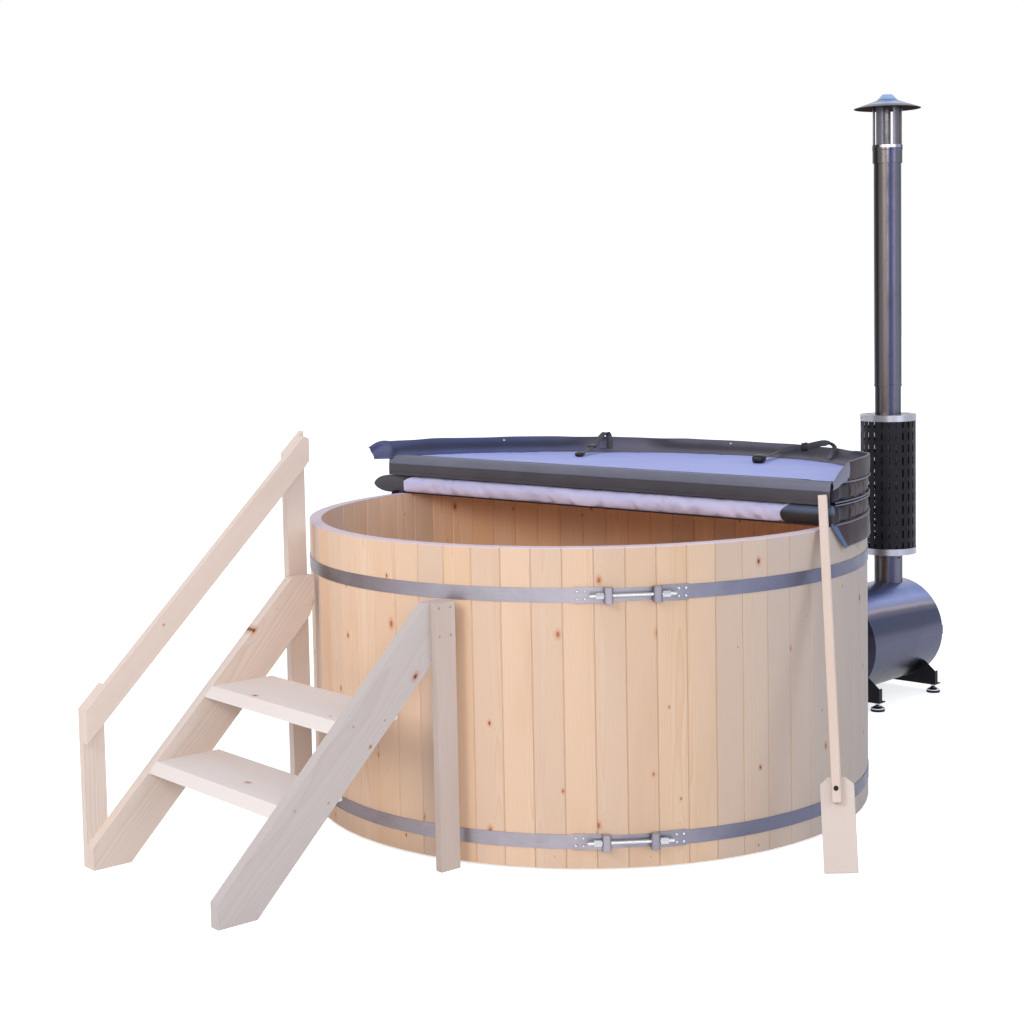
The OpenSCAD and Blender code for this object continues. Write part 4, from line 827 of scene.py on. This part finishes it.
# Top edge of the upper skirt in the cover's axes: degrees, reach, height
SKIRT_TOP = (
    (-90, 1.007, 1.228), (-66, 1.007, 1.228), (-55, 1.011, 1.215), (-42, 1.030, 1.200), (-30, 1.050, 1.190),
    (-8, 1.060, 1.188), (5, 1.061, 1.190), (17, 1.060, 1.194), (36, 1.059, 1.203), (60, 1.056, 1.211),
    (78, 1.058, 1.221), (90, 1.066, 1.224),
)


def upper_top(angle):
    """Height of the folded upper half's upper face at its round edge."""
    return 1.1704 - 0.029 * (COVER_R * cos(radians(angle)))


def upper_skirt_edges(angle):
    """The upper skirt's foot and top edge, and how far it is drawn in beside the tall step post, from 0 to 1."""
    reach, height = table(angle, SKIRT_TOP)
    drawn = 1 - ease(abs(angle - POST_PHI), 4.5, 15)
    reach += (min(reach, POST_REACH) - reach) * drawn
    return polar(COVER_R - SKIRT_IN, angle, upper_top(angle) - 0.002), polar(reach, angle, height), drawn


def upper_skirt_rows():
    rows = []
    for angle in range(-81, 92):
        foot, head, drawn = upper_skirt_edges(angle)
        slack = max(0.0, SKIRT_H - (head - foot).length)
        out = polar(1, angle, 0)
        ripple = 0.0022 * noise.noise(Vector((angle * 0.13, 3.1, 0)))
        row = [polar(COVER_R - SEAM_IN, angle, upper_top(angle) - SEAM)]
        for j in range(8):
            t = j / 7
            bow = sin(pi * t) * (0.004 + 0.42 * slack) * (1 - 0.75 * ease(-angle, 38, 62)) * (1 - 0.92 * drawn)
            row.append(foot.lerp(head, t) + out * bow + out * ripple * t + Vector((0, 0, ripple * t)))
        rows.append(row)
    # past the pad's corner the end stands free and flares
    tip_low, tip_high = Vector((0.0, 1.100, 1.154)), Vector((-0.004, 1.136, 1.196))
    last = rows[-5]
    rows = rows[:-4]
    for k in range(1, 9):
        t = k / 8
        row = []
        for j, p in enumerate(last):
            s = max(0, j - 1) / 7
            tip = tip_low.lerp(tip_high, s) + Vector((0.010 * sin(pi * s), 0, 0))
            if s > 0.8:
                tip += Vector((0, -0.010, 0.003))
            row.append(p.lerp(tip, t) + Vector((0, 0, 0.012 * sin(pi * t) * s)))
        rows.append(row)
    return rows


def lower_skirt_rows():
    """Hangs outside the staves, with the corner by the paddle turned outward."""
    rows = []
    for angle in range(-88, 91):
        row = [polar(COVER_R - SEAM_IN, angle, PAD_Z + SEAM)]
        for j in range(8):
            t = j / 7
            ripple = 0.002 * noise.noise(Vector((angle * 0.17, t * 1.5, 7.7)))
            cut = ease(-angle, 79, 88) * t
            flare = 0.005 * ease(-angle, 40, 75) * sin(pi * 0.5 * t)
            reach = COVER_R - SKIRT_IN + abs(ripple) + flare + 0.006 * cut * t
            row.append(polar(reach, angle + 4.3 * cut, PAD_Z + 0.003 - SKIRT_H * t))
        rows.append(row)
    return rows


def turned_end(point):
    """1 on the lower skirt's turned strip by the paddle."""
    p = COVER.inverted() @ point
    return 1 if degrees(atan2(p.y, p.x)) < -86.2 + 3.8 * (PAD_Z - p.z) / SKIRT_H else 0


def cover_goods():
    dark = vinyl("cover_vinyl_band", (0.285, 0.27, 0.29), 0.14)
    outer = vinyl("cover_vinyl_outer", (0.175, 0.115, 0.15), 0.1)
    lining = vinyl("cover_vinyl_lining", (0.29, 0.275, 0.31), 0.3, lining=True)
    pale = vinyl("cover_vinyl_strip", (0.38, 0.385, 0.44), 0.4)
    turned = vinyl("cover_vinyl_turned", (0.27, 0.33, 0.47), 0.2)
    # light grey-blue piping: its blue is partly a painted sky reflection along the bands' edges
    edge = vinyl("cover_vinyl_piping", (0.32, 0.325, 0.40), 0.5)

    form = pad_form()
    spare = form.copy()
    spare.data = form.data.copy()
    bpy.context.collection.objects.link(spare)
    for half, obj, place in (("lower", form, COVER), ("upper", spare, FOLDED)):
        obj.name = f"cover_{half}_pad"
        obj.data.transform(place)
        if place.determinant() < 0:
            obj.data.flip_normals()
        obj.data.materials.clear()
        obj.data.materials.append(pad_skin("cover_lilac_" + half, place, half == "lower"))
        piece(obj, "cover_" + half, "cover_pad_" + half)
    for half, place, proud in (("lower", COVER, -0.0005), ("upper", FOLDED, 0.0012)):
        pad_trim(half, place, proud, edge, dark)
    sill = [COVER @ Vector((FOLD_HALF + 0.0035, 0.985 - 1.93 * k / 60, PAD_Z + 0.0032)) for k in range(61)]
    piece(piping("cover_lower_sill", sill, 0.003, outer), "cover_lower", "cover_pad_lower")
    corner_tuck(dark)
    flap_band(dark, pale, edge)
    fold_strip(dark)

    hems = {}
    for half, rows, length, materials, pick in (
        ("upper", upper_skirt_rows(), 3.07, (lining, outer), None),
        ("lower", lower_skirt_rows(), 3.13, (outer, turned), turned_end),
    ):
        rows = [[COVER @ p for p in row] for row in rows]
        skirt = sheet_of(f"cover_{half}_skirt", rows, SKIRT_THICK, materials, pick)
        piece(skirt, "cover_" + half, "cover_skirt_" + half)
        hems[half] = [row[-1] for row in rows]
    skirt_corner(pale)
    for half, path in hems.items():
        hem = piping(f"cover_{half}_hem", path, 0.0019, edge)
        piece(hem, "cover_" + half, "cover_skirt_" + half)
    straps(lining)
    eyelets()


def pad_trim(half, place, proud, edge, dark):
    """Piping along both edges of a pad's band, and its corner seam. proud is how far the lower one stands out."""
    foot, head = [], []
    for k in range(PAD_SEGMENTS + 1):
        a = -86.5 + 173 * k / PAD_SEGMENTS
        drop = (COVER_R * cos(radians(a)) - FOLD_HALF) * PAD_DROP
        foot.append(place @ polar(COVER_R + proud, a, PAD_Z + 0.0045))
        head.append(place @ polar(COVER_R - 0.0005, a, PAD_Z + PAD_FOLD - 0.0045 - drop))
    seam = [place @ polar(COVER_R - 0.0002, -79.5, PAD_Z + 0.006 + 0.056 * k / 10) for k in range(11)]
    for name, path, radius, material in (
        ("piping_foot", foot, 0.0026, edge), ("piping_head", head, 0.0026, edge), ("seam", seam, 0.0016, dark),
    ):
        line = piping(f"cover_{half}_{name}", path, radius, material)
        piece(line, "cover_" + half, "cover_pad_" + half)


def corner_tuck(material):
    """The lower pad's loose vinyl corner at its left end: a blunt nose past the fold face."""
    marks = ((0.075, 0.965, 1.056), (0.050, 1.012, 1.056), (0.022, 1.066, 1.058), (0.002, 1.104, 1.060))
    spine = spread([Vector(p) for p in marks], 6)
    points = []
    for i, p in enumerate(spine):
        t = i / (len(spine) - 1)
        close = max(sqrt(max(0.0, 1 - max(0.0, (t - 0.74) / 0.26) ** 2)), 0.05)
        tall = 0.0355 * (1 - 0.42 * ease(t, 0.5, 1.0))
        thick = 0.020 - 0.006 * t
        side = heading(spine, i).cross(UP).normalized()
        for k in range(20):
            c, s = cos(tau * k / 20), sin(tau * k / 20)
            square = 1 / max(abs(c), abs(s)) ** (0.55 - 0.45 * t)
            curl = 0.004 * ease(t, 0.4, 1.0) * s
            points.append(p + side * (c * thick * square * close + curl) + Vector((0, 0, s * tall * square * close)))
    for p in points:
        p.z = min(max(p.z, 1.0215), 1.0925)
        p.x += 0.003 * noise.noise(Vector((p.y * 30, p.z * 40, 1.0)))
    obj = tube("cover_lower_corner", [COVER @ p for p in points], 20, material)
    rounded(obj)
    piece(obj, "cover_lower", "cover_pad_lower")


# Section of the flap band in the cover's axes, from its upper edge down: out from the fold, height
FLAP = (
    (0.070, 1.1690), (0.058, 1.1705), (0.047, 1.1690), (0.0405, 1.1620), (0.0375, 1.1500), (0.0365, 1.1400),
    (0.0350, 1.1300), (0.0345, 1.1180), (0.0350, 1.1070), (0.0345, 1.1000), (0.0348, 1.0945),
)
FLAP_SPLIT = 1.1385  # height of the seam between its pale and its dark strip


def flap_band(dark, pale, edge):
    """The vinyl that covers the upper half's fold face: a pale upper strip and a dark lower one."""
    def held(x, y, free):
        """Past the pad's ends nothing is behind the band to wrap over."""
        return x if -0.90 <= y <= 0.99 else min(x, free)

    rows = []
    for k in range(101):
        y = -1.003 + 2.055 * k / 100
        sag = 0.0012 * noise.noise(Vector((y * 4.5, 0.3, 0)))
        rows.append([
            COVER @ Vector((held(x, y, 0.0500) + sag + 0.0008 * noise.noise(Vector((y * 14, z * 60, 2.0))), y, z + sag))
            for x, z in FLAP
        ])
    obj = sheet_of("cover_flap_band", rows, 0.0026, (dark, pale), lambda p: 1 if p.z > FLAP_SPLIT else 0)
    piece(obj, "cover_upper", "cover_hinge")
    for name, x, z, radius, material in (
        ("top", 0.0685, 1.1702, 0.0022, edge), ("middle", 0.0352, FLAP_SPLIT, 0.0018, edge),
        ("low", 0.0330, 1.1062, 0.0012, dark), ("foot", 0.0345, 1.0945, 0.0022, dark),
    ):
        along = [-1.001 + 2.049 * k / 80 for k in range(81)]
        path = [COVER @ Vector((held(x, y, 0.0490), y, z)) for y in along]
        line = piping("cover_flap_seam_" + name, path, radius, material)
        piece(line, "cover_upper", "cover_hinge")


def fold_strip(material):
    """The vinyl that joins both halves, lying folded between them at rest."""
    foot, tall = 1.0934, 0.0044
    rows = []
    for k in range(61):
        y = -0.935 + 1.90 * k / 60
        rows.append([COVER @ Vector((0.052 - 0.016 * sin(pi * j / 12), y, foot + tall * (j / 12))) for j in range(13)])
    obj = sheet_of("cover_fold_strip", rows, 0.0014, (material,))
    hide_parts("cover_hinge")
    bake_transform(obj)


def skirt_corner(material):
    """The upper skirt's loose end by the paddle, folded down over the pad's corner."""
    rows = []
    for k in range(13):
        t = k / 12
        high = 1.2290 - 0.0620 * t**1.7
        low = 1.1730 - 0.0300 * ease(t, 0.0, 1.0)
        row = []
        for j in range(7):
            s = j / 6
            reach = 1.0100 + 0.0035 * sin(pi * s) + 0.0015 * t
            row.append(COVER @ polar(reach, -80.6 - 7.3 * t, low + (high - low) * s))
        rows.append(row)
    obj = sheet_of("cover_skirt_corner", rows, 0.0026, (material,))
    piece(obj, "cover_upper", "cover_skirt_upper")
    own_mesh(obj)


# The straps in the cover's axes, with every place as reach, degrees, height: the seam's azimuth, the patch's two
# ends, the route to the buckle, the buckle's tip and size, where along the route the slider is, and the twist
STRAPS = {
    "far": (34.4, ((1.0095, 35.2, 1.1545), (1.021, 35.2, 1.1955)), (
        (1.009, 33.6, 1.156), (1.014, 33.6, 1.176), (1.020, 33.7, 1.198), (1.024, 34.0, 1.214), (1.016, 34.6, 1.2215),
        (0.998, 35.4, 1.2120), (0.940, 36.6, 1.188), (0.865, 38.0, 1.171), (0.800, 39.3, 1.163), (0.755, 40.2, 1.162),
    ), (0.722, 40.8, 1.1615), 1.0, 0.72, 0.0),
    "near": (-26.5, ((1.0135, -27.3, 1.1545), (1.037, -27.3, 1.187)), (
        (1.012, -27.6, 1.156), (1.026, -27.6, 1.172), (1.040, -27.2, 1.190), (1.040, -26.0, 1.205),
        (1.034, -23.6, 1.209), (1.030, -20.6, 1.200), (1.026, -17.2, 1.187), (1.018, -13.6, 1.176),
        (1.000, -11.0, 1.1655), (0.950, -11.6, 1.159), (0.880, -14.2, 1.160), (0.810, -18.2, 1.1615),
    ), (0.775, -20.2, 1.162), 1.35, 0.55, 0.62),
}
# A buckle's body from its back to its tip: distance, and shares of its full width and height
BUCKLE = (
    (-0.006, 0.7, 0.6), (0.0, 0.9, 0.85), (0.006, 1.0, 1.0),
    (0.036, 1.0, 1.0), (0.044, 0.9, 0.9), (0.048, 0.6, 0.6),
)


def power(value, exponent):
    return copysign(abs(value) ** exponent, value)


def buckle(name, tail, along, size, material):
    across = along.cross(UP).normalized()
    up = across.cross(along)
    turns = [tau * k / 28 for k in range(28)]
    shape = [(0.017 * power(cos(a), 0.45), 0.0085 * power(sin(a), 0.6)) for a in turns]
    points = [
        tail + along * (s * size) + across * (c * (w * size)) + up * (h * (q * size) * size)
        for s, w, q in BUCKLE
        for c, h in shape
    ]
    return tube(name, points, 28, material)


def straps(lining):
    """Two webbing straps sewn inside the upper skirt, with their buckles lying on the pad."""
    webbing_black = webbing("black_webbing_weave", (0.13, 0.13, 0.16))
    plastic = moulded("black_plastic_grain", (0.085, 0.085, 0.095), 0.4)
    for tag, (angle, ends, route, tip, size, place, twist) in STRAPS.items():
        path = [COVER @ p for p in spread([polar(*at) for at in route], 5)]
        radial = (COVER.to_3x3() @ polar(1, angle, 0)).normalized()
        side = UP.cross(radial)
        wide = []
        for k in range(len(path)):
            t = k / (len(path) - 1)
            wide.append(side.lerp(UP, twist * ease(t, 0.22, 0.5) * (1 - ease(t, 0.62, 0.8))))
        strap = ribbon(f"cover_strap_{tag}", path, wide, 0.024, 0.0022, webbing_black)
        low, high = (polar(*at) for at in ends)
        line = [COVER @ low.lerp(high, k / 8) - radial * 0.004 for k in range(9)]
        patch = ribbon(f"cover_strap_{tag}_patch", line, [side] * 9, 0.029, 0.0022, lining)
        tail = COVER @ polar(*tip)
        clip = buckle(f"cover_buckle_{tag}", tail, (tail - path[-4]).normalized(), size, plastic)
        k = int(len(path) * place)
        run = (path[k + 2] - path[k]).normalized()
        facing = (wide[k] - run * wide[k].dot(run)).normalized()
        line = [path[k] + run * (0.007 * j - 0.014) for j in range(5)]
        slider = ribbon(f"cover_slider_{tag}", line, [facing] * 5, 0.034, 0.008, plastic)
        for obj, slot, node in (
            (strap, "black_webbing", "cover_straps"), (patch, "black_webbing", "cover_straps"),
            (clip, "black_plastic", "strap_buckles"), (slider, "black_plastic", "strap_buckles"),
        ):
            piece(obj, "cover_upper", node)
            COVER @ polar(1.0125, angle, 1.18)
            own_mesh(obj)


def eyelets():
    """Two small steel eyelets near the upper skirt's top edge."""
    steel = metal("screw_steel_eyelets", (0.85, 0.85, 0.86), 0.3, COVER, (60.0, 60.0, 60.0))
    for angle in (58.24, 5.0):
        foot, head, _ = upper_skirt_edges(angle)
        out = polar(1, angle, 0)
        centre = foot.lerp(head, 0.80) + out * (sin(pi * 0.80) * 0.004 - 0.0022)
        rise = (head - foot).normalized()
        side = UP.cross(out)
        turns = [tau * k / 24 for k in range(25)]
        ring = [COVER @ (centre + (side * cos(a) + rise * sin(a)) * 0.0034) for a in turns]
        obj = piping(f"cover_eyelet_{int(angle)}", ring, 0.0014, steel)
        piece(obj, "cover_upper", "cover_skirt_upper")


# ---- camera, light and floor
CAMERA_AT = (0.0, -6.6036, 1.8033)
CAMERA_YAW = -2.0123
CAMERA_DOWN = 4.6751
CAMERA_ROLL = -1.0772
FOCAL_PX = 1829.68
PICTURE = 1024  # width and height in pixels
CENTRE_PX = (521.64, 443.97)
FLOOR_GLOW = 0.66


def photo_camera():
    """The camera that the photograph's ellipses and edges gave."""
    yaw, down, roll = (radians(a) for a in (CAMERA_YAW, CAMERA_DOWN, CAMERA_ROLL))
    ahead = Vector((sin(yaw) * cos(down), cos(yaw) * cos(down), -sin(down)))
    right = Vector((cos(yaw), -sin(yaw), 0))
    up = right.cross(ahead)
    right, up = right * cos(roll) + up * sin(roll), up * cos(roll) - right * sin(roll)
    data = bpy.data.cameras.new("photo_camera")
    data.sensor_width = 36.0
    data.lens = FOCAL_PX * data.sensor_width / PICTURE
    data.shift_x = (PICTURE / 2 - CENTRE_PX[0]) / PICTURE
    data.shift_y = (CENTRE_PX[1] - PICTURE / 2) / PICTURE
    camera = bpy.data.objects.new("photo_camera", data)
    bpy.context.collection.objects.link(camera)
    camera.matrix_world = Matrix.Translation(CAMERA_AT) @ Matrix((right, up, -ahead)).transposed().to_4x4()
    bpy.context.scene.camera = camera


def softbox(name, at, toward, size, power, tint):
    data = bpy.data.lights.new(name, "AREA")
    settle(data, shape="RECTANGLE", size=size[0], size_y=size[1], energy=power, color=tint)
    lamp = bpy.data.objects.new(name, data)
    bpy.context.collection.objects.link(lamp)
    lamp.location = at
    lamp.rotation_euler = (Vector(toward) - Vector(at)).to_track_quat("-Z", "Y").to_euler()


def seen_as(g, lit, seen):
    """The shader lit for light, and seen for rays from the camera, from gloss and through glass."""
    path = g.new("LightPath")
    camera, gloss, glass = (g.value(path, f"Is {ray} Ray") for ray in ("Camera", "Glossy", "Transmission"))
    return g.value(g.new("MixShader", g.larger(g.larger(camera, gloss), glass), lit, seen))


def sky():
    """Soft light from above, against a white background."""
    world = bpy.data.worlds.new("studio")
    bpy.context.scene.world = world
    world.use_nodes = True
    g = Nodes(world.node_tree)
    ramp = g.new("ValToRGB", g.split(g.value(g.new("TexCoord"), "Generated"))[2])
    ramp.color_ramp.elements[0].color = (0.44, 0.43, 0.43, 1)
    ramp.color_ramp.elements[1].color = (0.72, 0.80, 0.98, 1)
    light = g.tree.nodes["Background"]
    g.feed(light.inputs["Color"], g.value(ramp))
    surface = seen_as(g, g.value(light), g.value(g.new("Background", (1, 1, 1))))
    g.feed(g.tree.nodes["World Output"].inputs["Surface"], surface)


def floor():
    """A pale floor, which glows so that its far edge meets the white background, and keeps the shadow."""
    bpy.ops.mesh.primitive_plane_add(size=120.0, location=(0, 0, -0.0005))
    plane = bpy.context.object
    plane.name = "studio_floor"
    g = Graph("studio_floor")
    speck = g.noise(g.here, 40.0, 3.0)
    tone = g.mix(speck * 0.04, (0.80, 0.80, 0.80), (0.72, 0.72, 0.72))
    g.set(Base_Color=tone, Roughness=0.9, Specular_IOR_Level=0.1)
    lit = g.value(g.shader)
    glow = g.value(g.new("Emission", (1, 1, 1), FLOOR_GLOW))
    surface = seen_as(g, lit, g.value(g.new("AddShader", lit, glow)))
    g.feed(g.tree.nodes["Material Output"].inputs["Surface"], surface)
    plane.data.materials.append(g.material)


photo_camera()
bpy.context.scene.view_settings.view_transform = "Standard"
sky()
softbox("key", (-5.5, -6.5, 5.5), (0, 0, 0.7), (4.0, 4.0), 365.0, (1.0, 0.965, 0.93))
softbox("front", (0.6, -7.6, 2.9), (0.2, 0.4, 0.9), (3.0, 1.5), 130.0, (1.0, 0.97, 0.94))
softbox("fill", (6.0, -4.5, 3.0), (0.4, 0, 0.8), (4.0, 4.0), 150.0, (0.86, 0.92, 1.0))
floor()
dress_wood()
dress_metal()
dress_moulded()
cover_goods()
